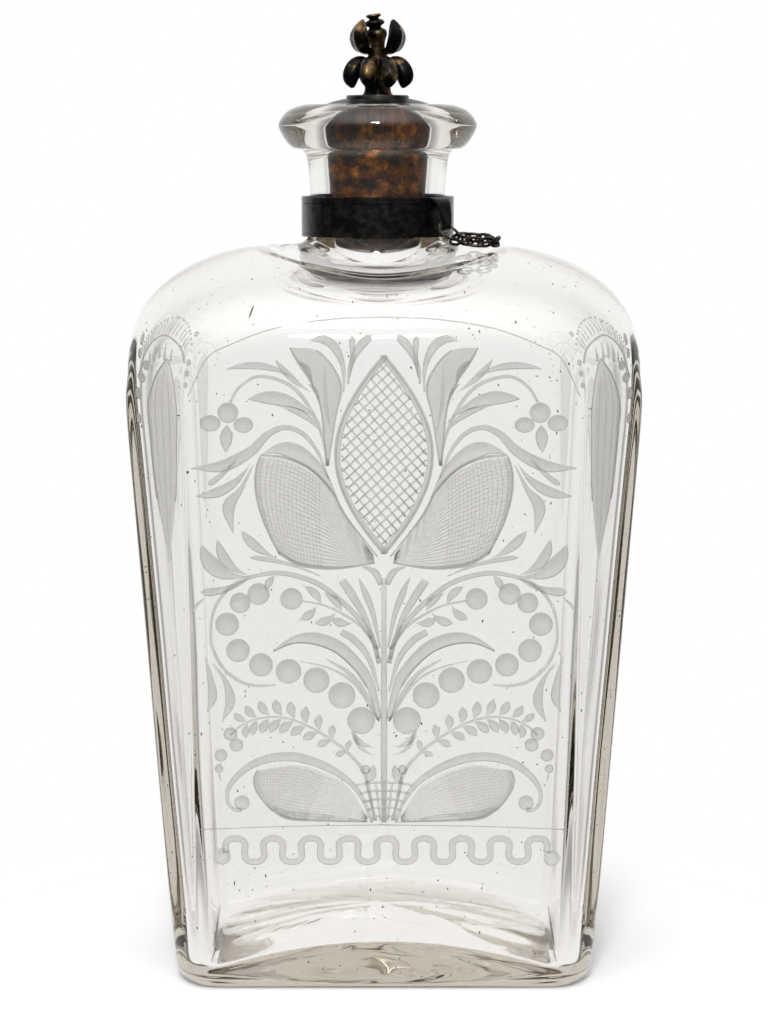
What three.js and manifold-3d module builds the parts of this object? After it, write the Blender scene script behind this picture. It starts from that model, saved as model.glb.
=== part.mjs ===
// A panelled glass case bottle with a cork stopper: millimetres, +Z up.
// The origin is the middle of the base on the surface it stands on, and the front panel faces -Y.
import * as THREE from 'three';
import { mergeVertices } from 'three/addons/utils/BufferGeometryUtils.js';
import Module from 'manifold-3d';

// Glass body
const BASE_HALF_WIDTH = 52.1;
const BASE_HALF_DEPTH = 39;
const TOP_HALF_WIDTH = 64.4;
const TOP_HALF_DEPTH = 46.2;
const SHOULDER_Z = 151.5;
const SHOULDER_RISE = 32.2;
const BASE_CHAMFER = { x: 6.2, y: 8 };
const TOP_CHAMFER = { x: 15.6, y: 16 };
const EDGE_SHARPNESS = 56;
const FOOT_RADIUS = 4.5;
const FOOT_RING = 9;
const PUNT_RISE = 9;
const WALL_BASE = 3.6;
const WALL_TOP = 2.6;
const FLOOR_CENTRE_Z = 14.4;
const FLOOR_CORNER_Z = 3.6;

// Shoulder
const CROWN_SADDLE = 3;
const CROWN_OVERHANG = 1.6;
const CROWN_CURVE = 2.45;
const CORNER_POWER = 5.6;
const CORNER_POWER_FADE = 0.8;
const SHOULDER_WALL = 4.2;
const SHOULDER_TAIL = 22;

// Neck and lip
const NECK_OFFSET_X = -1.6;
const NECK_RADIUS = 17.1;
const NECK_FLARE = 2.9;
const NECK_LENGTH = 22.5;
const NECK_WALL = 5.5;
const BORE_FLARE = 2.4;
const LIP_RADIUS = 25;
const LIP_HEIGHT = 12.5;

// Stopper
const CORK_GAP = 0.35;
const CORK_BELOW_CROWN = 1.9;
const CORK_BELOW_LIP = 1.2;
const CAP_RADIUS = 14.1;
const CAP_RISE = 2.3;
const CAP_RIM = 0.7;
const BOSS_RADIUS = 7.9;
const BOSS_HEIGHT = 0.6;
const SHANK_RADIUS = 1.3;
const WASHER_RADIUS = 3.6;
const WASHER_HEIGHT = 0.8;
const CLENCH_RADIUS = 2.3;
const CLENCH_HEIGHT = 1.6;
const STEM_RADIUS = 3.9;
const STEM_HEIGHT = 7.4;
const CORE_RADIUS = 2.5;
const CORE_HEIGHT = 4.2;
const LEAF_EDGE = 0.8;
const LOWER_LEAF_REACH = 5;
const LOWER_LEAF_DROP = 6.4;
const LOWER_LEAF_WIDTH = 4.8;
const LOWER_LEAF_BELLY = 4.8;
const LOWER_LEAF_AZIMUTHS = [212, 252, 292, 332, 30, 90, 150];
const UPPER_LEAF_RISE = 8.2;
const UPPER_LEAF_REACH = 3.5;
const UPPER_LEAF_WIDTH = 6.8;
const UPPER_LEAF_BELLY = 3.4;
const UPPER_LEAF_AZIMUTHS = [222, 320, 40, 140];
const BUD_RADIUS = 2.7;
const BUD_HEIGHT = 7.9;
const BUD_TILT_DEG = 8;

// Collar and keeper chain
const COLLAR_GAP = 1.3;
const COLLAR_SHEET = 0.9;
const COLLAR_HEIGHT = 10.1;
const COLLAR_ABOVE_CROWN = 1.9;
const LUG_AZIMUTH_DEG = -42;
const LUG_SHEET = 0.8;
const LUG_TOP_WIDTH = 6.5;
const LUG_EYE_WIDTH = 2.8;
const LUG_EYE_RADIUS = 1.6;
const LUG_STAND_OFF = 2.9;
const RING_RADIUS = 3;
const RING_WIRE = 0.7;
const RING_SLOPE_DEG = 40;
const LINK_WIRE = 0.75;
const LINK_INNER_LENGTH = 3.1;
const LINK_INNER_WIDTH = 2;
const LINK_SLACK = 0.42;
const LINK_COUNT = 10;
const LINK_ROLL_DEG = 45;
const FIRST_LINK_ROLL_DEG = -30;
const CHAIN_LIFT = 0.6;
// The chain's lie seen from above, from the neck's axis, in shares of the collar's radius.
const CHAIN_LIE = [
  [1.083, -0.984],
  [1.228, -1.036],
  [1.394, -0.99],
  [1.523, -0.839],
  [1.497, -0.653],
  [1.321, -0.528],
  [1.083, -0.497],
  [0.87, -0.477],
];

// Clearance between pieces that touch, and mesh counts
const SEAT_GAP = 0.3;
const FRONT_STEPS = 10;
const CHAMFER_STEPS = 3;
const SIDE_STEPS = 6;
const SHOULDER_RINGS = 12;
const ROUND_STEPS = 32;
const LEAF_SIDES = 8;
const LEAF_STEPS = 8;
const LUG_STEPS = 18;
const WIRE_SIDES = 6;
const LINK_STEPS = 16;
const RING_STEPS = 20;

// Levels that the sizes above give
const CROWN_Z = SHOULDER_Z + SHOULDER_RISE;
const LIP_BOTTOM_Z = CROWN_Z + NECK_LENGTH;
const LIP_TOP_Z = LIP_BOTTOM_Z + LIP_HEIGHT;
const CORK_BOTTOM_Z = CROWN_Z - CORK_BELOW_CROWN;
const CORK_TOP_Z = LIP_TOP_Z - CORK_BELOW_LIP;
const CAP_Z = CORK_TOP_Z + SEAT_GAP;
const BOSS_Z = CAP_Z + CAP_RISE + SEAT_GAP;
const STEM_Z = BOSS_Z + BOSS_HEIGHT + SEAT_GAP;
const SHANK_HOLE_RADIUS = SHANK_RADIUS + SEAT_GAP;
const BORE_RADIUS = NECK_RADIUS - NECK_WALL;
const COLLAR_INNER = NECK_RADIUS + COLLAR_GAP;
const COLLAR_OUTER = COLLAR_INNER + COLLAR_SHEET;
const COLLAR_Z = CROWN_Z + COLLAR_ABOVE_CROWN;
const LINK_PITCH = LINK_INNER_LENGTH - LINK_SLACK;

const { degToRad, lerp, clamp } = THREE.MathUtils;
const wasm = await Module();
wasm.setup();

const materials = {
  glass: new THREE.MeshStandardMaterial({ color: 0xe8e6e0, roughness: 0.05, transparent: true, opacity: 0.4 }),
  cork: new THREE.MeshStandardMaterial({ color: 0x5a3a1a, roughness: 0.9, metalness: 0 }),
  cap: new THREE.MeshStandardMaterial({ color: 0x3a3836, roughness: 0.5, metalness: 0.8 }),
  finial: new THREE.MeshStandardMaterial({ color: 0x2a221b, roughness: 0.45, metalness: 0.8 }),
  collar: new THREE.MeshStandardMaterial({ color: 0x1b1a19, roughness: 0.5, metalness: 0.7 }),
  chain: new THREE.MeshStandardMaterial({ color: 0x24201d, roughness: 0.45, metalness: 0.8 }),
};

const stopper = new THREE.Group();
stopper.position.x = NECK_OFFSET_X;
const collar = new THREE.Group();
collar.position.x = NECK_OFFSET_X;
const decanter = new THREE.Group();
decanter.add(stopper, collar);

function addMesh(parent, name, geometry, material) {
  const mesh = new THREE.Mesh(geometry, material);
  mesh.name = name;
  parent.add(mesh);
  return mesh;
}

// Closed surfaces from rings of points

function signedVolume(points, faces) {
  return faces.reduce((sum, [a, b, c]) => {
    const normal = new THREE.Vector3().crossVectors(points[b], points[c]);
    return sum + points[a].dot(normal) / 6;
  }, 0);
}

function closedGeometry(points, faces) {
  const outward = signedVolume(points, faces) > 0;
  const index = faces.flatMap(([a, b, c]) => (outward ? [a, b, c] : [a, c, b]));
  const geometry = new THREE.BufferGeometry().setFromPoints(points);
  geometry.setIndex(index);
  geometry.computeVertexNormals();
  return geometry;
}

function bandFaces(first, second, count) {
  const faces = [];
  for (let i = 0; i < count; i++) {
    const j = (i + 1) % count;
    faces.push([first + i, first + j, second + j], [first + i, second + j, second + i]);
  }
  return faces;
}

function fanFaces(pole, ring, count, flipped) {
  return Array.from({ length: count }, (_, i) => {
    const j = (i + 1) % count;
    return flipped ? [pole, ring + i, ring + j] : [pole, ring + j, ring + i];
  });
}

function middle(ring) {
  return ring.reduce((sum, point) => sum.add(point), new THREE.Vector3()).divideScalar(ring.length);
}

// Rings in a row, closed by a fan at each end.
function loftSolid(rings, startPole = middle(rings[0]), endPole = middle(rings.at(-1))) {
  const count = rings[0].length;
  const points = [...rings.flat(), startPole, endPole];
  const last = (rings.length - 1) * count;
  const faces = fanFaces(rings.length * count, 0, count, false);
  for (let k = 0; k + 1 < rings.length; k++) faces.push(...bandFaces(k * count, (k + 1) * count, count));
  faces.push(...fanFaces(rings.length * count + 1, last, count, true));
  return closedGeometry(points, faces);
}

// Rings in a loop, as on a wire ring or a chain link.
function loopSolid(rings) {
  const count = rings[0].length;
  const faces = rings.flatMap((_, k) => bandFaces(k * count, ((k + 1) % rings.length) * count, count));
  return closedGeometry(rings.flat(), faces);
}

// A turned piece: its profile of [radius, height] pairs, with three's lathe axis stood up along Z.
function turned(profile, steps = ROUND_STEPS) {
  const outline = profile.map(([r, z]) => new THREE.Vector2(r, z));
  const geometry = new THREE.LatheGeometry(outline, steps).rotateX(Math.PI / 2);
  geometry.deleteAttribute('normal');
  geometry.deleteAttribute('uv');
  return mergeVertices(geometry, 1e-4);
}

function toManifold(geometry) {
  const vertProperties = new Float32Array(geometry.attributes.position.array);
  const triVerts = new Uint32Array(geometry.index.array);
  return new wasm.Manifold(new wasm.Mesh({ numProp: 3, vertProperties, triVerts }));
}

function fromManifold(solid) {
  const mesh = solid.getMesh();
  const geometry = new THREE.BufferGeometry();
  geometry.setAttribute('position', new THREE.BufferAttribute(mesh.vertProperties, 3));
  geometry.setIndex(new THREE.BufferAttribute(mesh.triVerts, 1));
  geometry.computeVertexNormals();
  return geometry;
}

// Glass body: the flat faces, the canted corners and the shoulder meet in soft edges

function bodySizes(z) {
  const t = z / SHOULDER_Z;
  return {
    width: lerp(BASE_HALF_WIDTH, TOP_HALF_WIDTH, t),
    depth: lerp(BASE_HALF_DEPTH, TOP_HALF_DEPTH, t),
    chamferX: lerp(BASE_CHAMFER.x, TOP_CHAMFER.x, t),
    chamferY: lerp(BASE_CHAMFER.y, TOP_CHAMFER.y, t),
    wall: lerp(WALL_BASE, WALL_TOP, t),
  };
}

function softMin(radii) {
  const sum = radii.reduce((total, r) => total + r ** -EDGE_SHARPNESS, 0);
  return sum ** (-1 / EDGE_SHARPNESS);
}

// Distance from the axis to each flat face of the body along an angle.
function faceRadii(angle, z, inset) {
  const { width, depth, chamferX, chamferY } = bodySizes(z);
  const c = Math.abs(Math.cos(angle));
  const s = Math.abs(Math.sin(angle));
  const slant = Math.hypot(chamferX, chamferY);
  const canted = (chamferY * (width - chamferX) + chamferX * depth) / slant - inset;
  return [
    (width - inset) / Math.max(c, 1e-6),
    (depth - inset) / Math.max(s, 1e-6),
    (canted * slant) / (chamferY * c + chamferX * s),
  ];
}

// The shoulder's plan at a share of its spread, from the round neck at 0 to the body at 1.
function shoulderPlan(spread, z, inset) {
  const neck = NECK_RADIUS + NECK_FLARE - inset;
  const below = Math.max(SHOULDER_Z - z, 0);
  const squaring = clamp((CROWN_Z - z) / SHOULDER_RISE, 0, 1) ** CORNER_POWER_FADE;
  const tail = below / SHOULDER_TAIL;
  return {
    x: lerp(neck, TOP_HALF_WIDTH - inset, spread) * (1 + tail / 10),
    y: lerp(neck, TOP_HALF_DEPTH + CROWN_OVERHANG - inset, spread) * (1 + tail / 10),
    power: lerp(2, CORNER_POWER, squaring) + tail * CORNER_POWER,
  };
}

function planRadius({ x, y, power }, angle) {
  const sum = (Math.abs(Math.cos(angle)) / x) ** power + (Math.abs(Math.sin(angle)) / y) ** power;
  return sum ** (-1 / power);
}

// Angles of the columns of points, which follow the faces' edges as these move with the height.
function columnAngles(z) {
  const { width, depth, chamferX, chamferY } = bodySizes(clamp(z, 0, SHOULDER_Z));
  const corners = [
    [width, 0],
    [width, depth - chamferY],
    [width - chamferX, depth],
    [0, depth],
  ];
  const steps = [SIDE_STEPS / 2, CHAMFER_STEPS, FRONT_STEPS / 2];
  const quarter = steps.flatMap((count, k) =>
    Array.from({ length: count }, (_, i) => {
      const x = lerp(corners[k][0], corners[k + 1][0], i / count);
      const y = lerp(corners[k][1], corners[k + 1][1], i / count);
      return Math.atan2(y, x);
    }),
  );
  const mirrored = [Math.PI / 2, ...quarter.slice(1).reverse().map((angle) => Math.PI - angle)];
  const half = [...quarter, ...mirrored];
  return [...half, ...half.map((angle) => angle + Math.PI)];
}

function bodyRing(z, inset, heightAt = () => z) {
  return columnAngles(z).map((angle) => {
    const level = heightAt(angle);
    const radii = faceRadii(angle, level, inset);
    if (level > SHOULDER_Z - SHOULDER_TAIL) radii.push(planRadius(shoulderPlan(1, level, inset), angle));
    const r = softMin(radii);
    return new THREE.Vector3(r * Math.cos(angle), r * Math.sin(angle), level);
  });
}

// How much lower the shoulder is towards the front and back than at the sides.
function saddle(angle, spread) {
  return CROWN_SADDLE * spread ** 1.2 * Math.sin(angle) ** 2;
}

// A ring of the shoulder, at a share of the rise: 0 at the body, 1 at the neck.
function shoulderRing(turn, inset, drop) {
  const spread = Math.cos(turn) ** (2 / CROWN_CURVE);
  const rise = Math.sin(turn) ** (2 / CROWN_CURVE);
  return columnAngles(SHOULDER_Z).map((angle) => {
    const level = SHOULDER_Z + SHOULDER_RISE * rise;
    const radii = faceRadii(angle, level, inset);
    const r = softMin([...radii, planRadius(shoulderPlan(spread, level, inset), angle)]);
    const x = r * Math.cos(angle) + NECK_OFFSET_X * (1 - spread) ** 3;
    return new THREE.Vector3(x, r * Math.sin(angle), level - (saddle(angle, spread) + drop) * rise);
  });
}

function neckRing(r, z) {
  return columnAngles(SHOULDER_Z).map(
    (angle) => new THREE.Vector3(r * Math.cos(angle) + NECK_OFFSET_X, r * Math.sin(angle), z),
  );
}

function boreRadius(z) {
  return BORE_RADIUS + BORE_FLARE * ((z - CROWN_Z) / (LIP_TOP_Z - CROWN_Z));
}

// The fat rounded lip, from its underside round to the mouth.
function lipCurve() {
  const mouth = boreRadius(LIP_TOP_Z);
  const points = [
    [NECK_RADIUS + 1.1, 0],
    [lerp(NECK_RADIUS, LIP_RADIUS, 0.58), 0.13 * LIP_HEIGHT],
    [LIP_RADIUS - 0.6, 0.42 * LIP_HEIGHT],
    [LIP_RADIUS, 0.63 * LIP_HEIGHT],
    [lerp(mouth, LIP_RADIUS, 0.78), 0.88 * LIP_HEIGHT],
    [lerp(mouth, LIP_RADIUS, 0.4), LIP_HEIGHT],
    [mouth + 0.9, 0.93 * LIP_HEIGHT],
    [mouth - 0.1, 0.78 * LIP_HEIGHT],
  ];
  return new THREE.SplineCurve(points.map(([r, z]) => new THREE.Vector2(r, LIP_BOTTOM_Z + z)));
}

function puntRing(share) {
  const rim = bodyRing(0, FOOT_RADIUS);
  return rim.map((point) => {
    const r = Math.hypot(point.x, point.y);
    const limit = r - FOOT_RING;
    const at = share * limit;
    return new THREE.Vector3((point.x * at) / r, (point.y * at) / r, PUNT_RISE * (1 - share ** 2));
  });
}

function floorLevel(r) {
  const corner = Math.hypot(BASE_HALF_WIDTH - BASE_CHAMFER.x, BASE_HALF_DEPTH) - WALL_BASE;
  return lerp(FLOOR_CENTRE_Z, FLOOR_CORNER_Z, (r / corner) ** 2);
}

function floorRing(share) {
  return bodyRing(FLOOR_CENTRE_Z, WALL_BASE).map((point) => {
    const r = share * Math.hypot(point.x, point.y);
    return new THREE.Vector3(share * point.x, share * point.y, floorLevel(r));
  });
}

function footRing(turn) {
  const inset = FOOT_RADIUS * (1 - Math.sin(turn));
  const z = FOOT_RADIUS * (1 - Math.cos(turn));
  return bodyRing(z, inset);
}

const quarterTurn = Math.PI / 2;

function outerRings() {
  const turns = Array.from({ length: SHOULDER_RINGS }, (_, k) => (quarterTurn * (k + 0.5)) / SHOULDER_RINGS);
  const flare = NECK_RADIUS + NECK_FLARE;
  return [
    ...[0.35, 0.7, 1].map(puntRing),
    ...[0, 0.33, 0.67, 1].map((t) => footRing(t * quarterTurn)),
    ...[0.35, 0.7, 0.86, 0.95].map((t) => bodyRing(t * SHOULDER_Z, 0)),
    ...turns.map((turn) => shoulderRing(turn, 0, 0)),
    neckRing(flare - 0.5, CROWN_Z + 0.2),
    neckRing(lerp(NECK_RADIUS, flare, 0.45), CROWN_Z + 0.9),
    neckRing(lerp(NECK_RADIUS, flare, 0.16), CROWN_Z + 2.2),
    neckRing(NECK_RADIUS, CROWN_Z + 0.25 * NECK_LENGTH),
    neckRing(NECK_RADIUS, CROWN_Z + 0.6 * NECK_LENGTH),
    ...lipCurve().getPoints(14).map(({ x, y }) => neckRing(x, y)),
  ];
}

function innerRings() {
  const turns = Array.from({ length: SHOULDER_RINGS }, (_, k) => quarterTurn * (1 - (k + 0.5) / SHOULDER_RINGS));
  const opening = NECK_RADIUS + NECK_FLARE - SHOULDER_WALL;
  return [
    ...[0.7, 0.35, 0].map((t) => {
      const z = lerp(CROWN_Z, LIP_BOTTOM_Z, t);
      return neckRing(boreRadius(z), z);
    }),
    neckRing(lerp(BORE_RADIUS, opening, 0.15), CROWN_Z - 0.45 * SHOULDER_WALL),
    neckRing(lerp(BORE_RADIUS, opening, 0.6), CROWN_Z - 0.85 * SHOULDER_WALL),
    ...turns.map((turn) => shoulderRing(turn, SHOULDER_WALL, SHOULDER_WALL)),
    ...[0.9, 0.8, 0.5, 0.2].map((t) => bodyRing(t * SHOULDER_Z, bodySizes(t * SHOULDER_Z).wall)),
    ...[1, 0.93, 0.65, 0.33].map(floorRing),
  ];
}

function buildBottle() {
  const puntPole = new THREE.Vector3(0, 0, PUNT_RISE);
  const floorPole = new THREE.Vector3(0, 0, FLOOR_CENTRE_Z);
  const geometry = loftSolid([...outerRings(), ...innerRings()], puntPole, floorPole);
  addMesh(decanter, 'glass_bottle', geometry, materials.glass);
}

// Stopper: cork, shank, cap and the flower finial

function buildCork() {
  const bottom = boreRadius(CORK_BOTTOM_Z) - CORK_GAP;
  const top = boreRadius(CORK_TOP_Z) - CORK_GAP;
  const chamfer = 0.6;
  const profile = [
    [SHANK_HOLE_RADIUS, CORK_BOTTOM_Z],
    [bottom - chamfer, CORK_BOTTOM_Z],
    [bottom, CORK_BOTTOM_Z + chamfer],
    [top, CORK_TOP_Z - chamfer],
    [top - chamfer, CORK_TOP_Z],
    [SHANK_HOLE_RADIUS, CORK_TOP_Z],
    [SHANK_HOLE_RADIUS, CORK_BOTTOM_Z],
  ];
  addMesh(stopper, 'cork_stopper', turned(profile), materials.cork);
}

function buildShank() {
  const washerTop = CORK_BOTTOM_Z - SEAT_GAP;
  const washerBottom = washerTop - WASHER_HEIGHT;
  const clenchTop = washerBottom - SEAT_GAP;
  const clenchBottom = clenchTop - CLENCH_HEIGHT;
  const shankTop = STEM_Z + 0.4 * STEM_HEIGHT;
  const shank = [
    [0, clenchBottom],
    [CLENCH_RADIUS - 0.6, clenchBottom],
    [CLENCH_RADIUS, clenchBottom + 0.6],
    [CLENCH_RADIUS, clenchTop],
    [SHANK_RADIUS, clenchTop],
    [SHANK_RADIUS, shankTop],
    [0, shankTop],
  ];
  const washer = [
    [SHANK_HOLE_RADIUS, washerBottom],
    [WASHER_RADIUS, washerBottom],
    [WASHER_RADIUS, washerTop],
    [SHANK_HOLE_RADIUS, washerTop],
    [SHANK_HOLE_RADIUS, washerBottom],
  ];
  addMesh(stopper, 'stopper_shank', turned(shank, 16), materials.finial);
  addMesh(stopper, 'shank_washer', turned(washer, 20), materials.finial);
}

function buildCap() {
  const top = CAP_Z + CAP_RISE;
  const cap = [
    [SHANK_HOLE_RADIUS, CAP_Z],
    [CAP_RADIUS, CAP_Z],
    [CAP_RADIUS, CAP_Z + CAP_RIM],
    [lerp(BOSS_RADIUS, CAP_RADIUS, 0.5), lerp(CAP_Z + CAP_RIM, top, 0.62)],
    [BOSS_RADIUS + 0.5, top],
    [SHANK_HOLE_RADIUS, top],
    [SHANK_HOLE_RADIUS, CAP_Z],
  ];
  const boss = [
    [SHANK_HOLE_RADIUS, BOSS_Z],
    [BOSS_RADIUS, BOSS_Z],
    [BOSS_RADIUS - 0.2, BOSS_Z + BOSS_HEIGHT],
    [SHANK_HOLE_RADIUS, BOSS_Z + BOSS_HEIGHT],
    [SHANK_HOLE_RADIUS, BOSS_Z],
  ];
  addMesh(stopper, 'cap_disc', turned(cap), materials.cap);
  addMesh(stopper, 'cap_boss', turned(boss, 28), materials.cap);
}

// The fluted calyx, with the blind hole that takes the shank and a slim core that carries the leaves.
function buildStem() {
  const top = STEM_Z + STEM_HEIGHT;
  const outline = [
    [0, STEM_Z],
    [STEM_RADIUS, STEM_Z],
    [0.88 * STEM_RADIUS, STEM_Z + 0.2 * STEM_HEIGHT],
    [STEM_RADIUS, STEM_Z + 0.5 * STEM_HEIGHT],
    [0.85 * STEM_RADIUS, STEM_Z + 0.8 * STEM_HEIGHT],
    [CORE_RADIUS, top],
    [CORE_RADIUS, top + CORE_HEIGHT],
    [0, top + CORE_HEIGHT],
  ];
  const holeTop = STEM_Z + 0.4 * STEM_HEIGHT + SEAT_GAP;
  const hole = [
    [0, STEM_Z - 1],
    [SHANK_HOLE_RADIUS, STEM_Z - 1],
    [SHANK_HOLE_RADIUS, holeTop],
    [0, holeTop],
  ];
  let solid = toManifold(turned(outline, 24));
  solid = solid.subtract(toManifold(turned(hole, 16)));
  const fluteRadius = 0.2 * STEM_RADIUS;
  const fluteReach = STEM_RADIUS + 0.35 * fluteRadius;
  const flutes = LOWER_LEAF_AZIMUTHS.length;
  for (let k = 0; k < flutes; k++) {
    const turn = degToRad(LOWER_LEAF_AZIMUTHS[k] + 30);
    const flute = new THREE.CylinderGeometry(fluteRadius, fluteRadius, 0.62 * STEM_HEIGHT, 8).rotateX(quarterTurn);
    flute.deleteAttribute('normal');
    flute.deleteAttribute('uv');
    flute.translate(fluteReach * Math.cos(turn), fluteReach * Math.sin(turn), STEM_Z + 0.3 * STEM_HEIGHT);
    solid = solid.subtract(toManifold(mergeVertices(flute, 1e-4)));
  }
  addMesh(stopper, 'finial_stem', fromManifold(solid), materials.finial);
}

// A leaf along a path of [reach, height] in its own upright plane: lens-shaped sections of a given width.
function leafGeometry(path, widthAt, thickAt, azimuth) {
  const curve = new THREE.SplineCurve(path.map(([r, z]) => new THREE.Vector2(r, z)));
  const out = new THREE.Vector3(Math.cos(azimuth), Math.sin(azimuth), 0);
  const across = new THREE.Vector3(-Math.sin(azimuth), Math.cos(azimuth), 0);
  const up = new THREE.Vector3(0, 0, 1);
  const rings = Array.from({ length: LEAF_STEPS + 1 }, (_, k) => {
    const t = k / LEAF_STEPS;
    const { x, y } = curve.getPoint(t);
    const tangent = curve.getTangent(t);
    const half = widthAt(t) / 2;
    return Array.from({ length: LEAF_SIDES }, (_, i) => {
      const turn = (2 * Math.PI * i) / LEAF_SIDES;
      const thick = (thickAt(t) / 2) * Math.sin(turn);
      return new THREE.Vector3()
        .addScaledVector(out, x - tangent.y * thick)
        .addScaledVector(up, y + tangent.x * thick)
        .addScaledVector(across, half * Math.cos(turn));
    });
  });
  return loftSolid(rings);
}

function buildLeaves() {
  const lowerRoot = STEM_Z + STEM_HEIGHT + 0.6;
  const start = CORE_RADIUS + SEAT_GAP;
  const lower = [
    [start, lowerRoot],
    [start + 0.3 * LOWER_LEAF_REACH, lowerRoot + 0.1 * LOWER_LEAF_DROP],
    [start + 0.75 * LOWER_LEAF_REACH, lowerRoot - 0.09 * LOWER_LEAF_DROP],
    [start + LOWER_LEAF_REACH, lowerRoot - 0.56 * LOWER_LEAF_DROP],
    [start + 0.92 * LOWER_LEAF_REACH, lowerRoot - LOWER_LEAF_DROP],
  ];
  const lowerWidth = (t) => LOWER_LEAF_WIDTH * (0.24 + 0.76 * Math.sin(Math.PI * t ** 1.6) ** 0.9);
  const lowerThick = (t) => lerp(LEAF_EDGE, LOWER_LEAF_BELLY, Math.sin(Math.PI * t ** 2));
  LOWER_LEAF_AZIMUTHS.forEach((azimuth, k) => {
    const geometry = leafGeometry(lower, lowerWidth, lowerThick, degToRad(azimuth));
    addMesh(stopper, `lower_leaf_${k + 1}`, geometry, materials.finial);
  });
  const upperRoot = lowerRoot + CORE_HEIGHT - 2;
  const upper = [
    [start, upperRoot],
    [start + 0.65 * UPPER_LEAF_REACH, upperRoot + 0.12 * UPPER_LEAF_RISE],
    [start + UPPER_LEAF_REACH, upperRoot + 0.45 * UPPER_LEAF_RISE],
    [start + 0.9 * UPPER_LEAF_REACH, upperRoot + 0.75 * UPPER_LEAF_RISE],
    [start + 0.6 * UPPER_LEAF_REACH, upperRoot + UPPER_LEAF_RISE],
  ];
  const upperWidth = (t) => UPPER_LEAF_WIDTH * (0.12 + 0.88 * Math.sin(Math.PI * (0.12 + 0.88 * t)) ** 0.8);
  const upperThick = (t) => lerp(LEAF_EDGE, UPPER_LEAF_BELLY, Math.sin(Math.PI * t ** 1.3));
  UPPER_LEAF_AZIMUTHS.forEach((azimuth, k) => {
    const geometry = leafGeometry(upper, upperWidth, upperThick, degToRad(azimuth));
    addMesh(stopper, `upper_leaf_${k + 1}`, geometry, materials.finial);
  });
}

// The turned bud of stacked discs, leaning to one side on the core.
function buildBud() {
  const profile = [
    [0, 0],
    [0.6, 0],
    [0.75, 0.12],
    [1, 0.3],
    [0.95, 0.46],
    [0.55, 0.58],
    [0.92, 0.68],
    [0.85, 0.78],
    [0.45, 0.85],
    [0.72, 0.94],
    [0.6, 1],
    [0, 1],
  ];
  const bud = turned(profile.map(([r, z]) => [r * BUD_RADIUS, z * BUD_HEIGHT]), 20);
  const mesh = addMesh(stopper, 'finial_bud', bud, materials.finial);
  const footRise = 0.6 * BUD_RADIUS * Math.sin(degToRad(BUD_TILT_DEG));
  mesh.position.z = STEM_Z + STEM_HEIGHT + CORE_HEIGHT + SEAT_GAP + footRise;
  mesh.rotation.y = -degToRad(BUD_TILT_DEG);
}

// Collar: band, lug with its eye, and the keeper chain

function buildBand() {
  const profile = [
    [COLLAR_INNER, COLLAR_Z],
    [COLLAR_OUTER, COLLAR_Z],
    [COLLAR_OUTER, COLLAR_Z + COLLAR_HEIGHT],
    [COLLAR_INNER, COLLAR_Z + COLLAR_HEIGHT],
    [COLLAR_INNER, COLLAR_Z],
  ];
  addMesh(collar, 'collar_band', turned(profile, 40), materials.collar);
}

const lugTurn = degToRad(LUG_AZIMUTH_DEG);
const lugOut = new THREE.Vector3(Math.cos(lugTurn), Math.sin(lugTurn), 0);
const lugAlong = new THREE.Vector3(-Math.sin(lugTurn), Math.cos(lugTurn), 0);
const upward = new THREE.Vector3(0, 0, 1);
const lugSeat = COLLAR_OUTER + SEAT_GAP + LUG_SHEET / 2;
const lugEye = { r: lugSeat + LUG_EYE_RADIUS, z: COLLAR_Z + 0.33 * COLLAR_HEIGHT };

function lugPoint(r, z, along) {
  return new THREE.Vector3().addScaledVector(lugOut, r).addScaledVector(upward, z).addScaledVector(lugAlong, along);
}

// The strap starts flat on the band's top, arches outwards and down, and curls up into the eye.
function buildLug() {
  const top = COLLAR_Z + COLLAR_HEIGHT;
  const eyeArc = [10, -50, -110, -165].map((deg) => {
    const turn = degToRad(deg);
    return [lugEye.r + LUG_EYE_RADIUS * Math.cos(turn), lugEye.z + LUG_EYE_RADIUS * Math.sin(turn)];
  });
  const path = [
    [lugSeat, top - 2.6],
    [lugSeat, top - 1.2],
    [lugSeat + 0.35 * LUG_STAND_OFF, top - 0.6],
    [lugSeat + 0.8 * LUG_STAND_OFF, top - 2.4],
    ...eyeArc,
  ];
  const curve = new THREE.SplineCurve(path.map(([r, z]) => new THREE.Vector2(r, z)));
  const rings = Array.from({ length: LUG_STEPS + 1 }, (_, k) => {
    const t = k / LUG_STEPS;
    const { x, y } = curve.getPoint(t);
    const tangent = curve.getTangent(t);
    const half = lerp(LUG_TOP_WIDTH, LUG_EYE_WIDTH, clamp((t - 0.25) / 0.35, 0, 1)) / 2;
    const thick = LUG_SHEET / 2;
    return [[1, 1], [-1, 1], [-1, -1], [1, -1]].map(([side, face]) =>
      lugPoint(x - tangent.y * thick * face, y + tangent.x * thick * face, half * side),
    );
  });
  addMesh(collar, 'collar_lug', loftSolid(rings), materials.collar);
}

// A wire of round section along a closed curve, given by its points and a normal of its plane.
function wireLoop(pointAt, normal, wire, steps) {
  const rings = Array.from({ length: steps }, (_, k) => {
    const here = pointAt(k / steps);
    const ahead = pointAt(((k + 1) % steps) / steps);
    const behind = pointAt(((k + steps - 1) % steps) / steps);
    const side = new THREE.Vector3().crossVectors(ahead.sub(behind).normalize(), normal);
    return Array.from({ length: WIRE_SIDES }, (_, i) => {
      const turn = (2 * Math.PI * i) / WIRE_SIDES;
      return here
        .clone()
        .addScaledVector(side, (wire / 2) * Math.cos(turn))
        .addScaledVector(normal, (wire / 2) * Math.sin(turn));
    });
  });
  return loopSolid(rings);
}

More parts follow.
